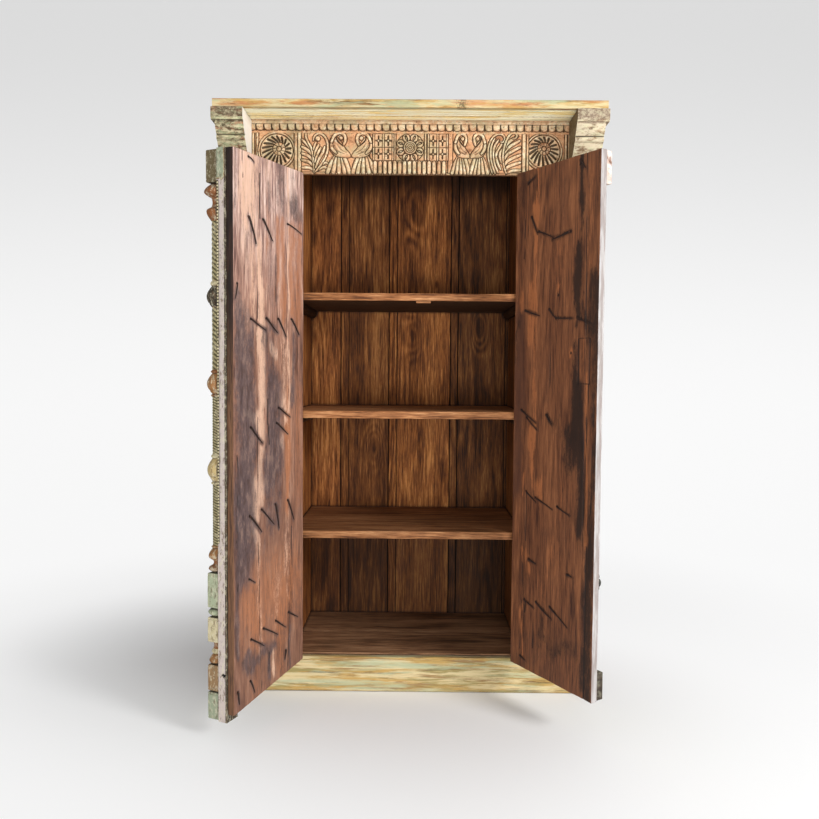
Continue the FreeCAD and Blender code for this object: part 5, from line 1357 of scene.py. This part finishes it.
# ---------------------------------------------------------------- stage
def backdrop():
    """Pale paper that runs from the floor up behind the cupboard, with painted shade that darkens it a little towards
    its top. It glows in the picture, less round the line on the floor where the cupboard's shadow falls: a painted
    shadow that lets the lamps' shadow show deeper there."""
    steps, bend = 12, 2500.0
    curve = [math.pi / 2 * step / steps for step in range(steps + 1)]
    profile = [(-7000.0, 0.0), *((2000.0 + bend * math.sin(turn), bend - bend * math.cos(turn)) for turn in curve),
               (4500.0, 8000.0)]
    points = [(x, y, z) for y, z in profile for x in (-9000.0, 9000.0)]
    faces = [(2 * i, 2 * i + 1, 2 * i + 3, 2 * i + 2) for i in range(len(profile) - 1)]
    sweep = make_mesh("studio_sweep", points, faces)
    g = Graph("studio_paper")
    z = g.split(g.space)[2]
    # Painted shade: the paper darker towards its top, and its glow too.
    g.finish(g.mix(g.span(z, 0.6, 4.6), (251, 251, 251), (214, 214, 214)), 0.95, specular=0.0)
    glow = g.node("Emission", {"Color": g.mix(g.span(z, 0.6, 4.2), (255, 255, 255), (226, 226, 226))})
    path = g.tree.nodes.new("ShaderNodeLightPath").outputs
    seen = g.math("MAXIMUM", path["Is Camera Ray"],
                  g.math("MAXIMUM", path["Is Glossy Ray"], path["Is Transmission Ray"]))
    reach = g.vector("LENGTH", g.scaled(g.space, (1, 1, 1.4)))
    # Painted shadow: the glow is least along the line from start in the direction run, where the cupboard's shadow
    # falls.
    start, run = (-0.65, 0.35, 0.0), (0.95, -0.72, 0.0)
    away = g.moved(g.space, [-value for value in start])
    along = g.vector("DOT_PRODUCT", away, run)
    share = g.node("Math", {0: along, 1: 1 / sum(v * v for v in run)}, operation="MULTIPLY", use_clamp=True)
    nearest = g.node("VectorMath", {0: run, "Scale": share}, operation="SCALE")
    gap = g.vector("DISTANCE", away, nearest)
    glow_outside_shadow = g.math("ADD", g.span(gap, 0.0, 1.08, 0.02, 0.70), g.span(reach, 1.2, 2.6, 0.0, 0.18))
    blend = g.node("MixShader", {0: g.math("MULTIPLY", seen, glow_outside_shadow), 1: g.shader.outputs[0], 2: glow})
    g.set(g.output.inputs[0], blend)
    sweep.data.materials.append(g.material)


def lamp(name, place, aim, size, power):
    """Round area lamp at a place, turned to what it lights."""
    light = bpy.data.lights.new(name, "AREA")
    light.shape = "DISK"
    light.size = size
    light.energy = power
    obj = place_object(name, light)
    obj.location = place
    obj.rotation_euler = (Vector(aim) - Vector(place)).to_track_quat("-Z", "Y").to_euler()


def studio():
    backdrop()
    lamp("key", (2.8, -2.5, 2.0), (0, 0, 0.8), 1.1, 106)
    lamp("fill", (-2.6, -3.4, 1.6), (0, 0, 0.9), 2.6, 16)
    lamp("front", (0.2, -4.2, 0.45), (0, 0.2, 1.3), 1.8, 98)
    world = bpy.data.worlds.new("studio_air")
    bpy.context.scene.world = world
    world.use_nodes = True
    air = world.node_tree.nodes["Background"].inputs
    air[0].default_value = (1, 1, 1, 1)
    air[1].default_value = 0.4


def camera():
    """Camera at the fitted place: yaw, pitch and roll in degrees, and a focal length for a 36 mm sensor."""
    yaw, pitch, roll = (math.radians(v) for v in (-0.361, -2.725, 0.454))
    forward = Vector((math.sin(yaw) * math.cos(pitch), math.cos(yaw) * math.cos(pitch), math.sin(pitch)))
    right = Vector((math.cos(yaw), -math.sin(yaw), 0))
    up = right.cross(forward)
    turned = math.cos(roll) * right + math.sin(roll) * up
    upright = -math.sin(roll) * right + math.cos(roll) * up
    data = bpy.data.cameras.new("camera")
    data.lens = 34.356
    data.sensor_width = 36.0
    data.sensor_fit = "AUTO"
    obj = place_object("camera", data)
    place = (0.0201, -2.4902, 1.0326)
    obj.matrix_world = Matrix.Translation(place) @ Matrix((turned, upright, -forward)).transposed().to_4x4()
    bpy.context.scene.camera = obj


carcass_boards()
painted_boards()
carved_frieze()
leaves()
studio()
camera()
bpy.context.scene.view_settings.view_transform = "Standard"
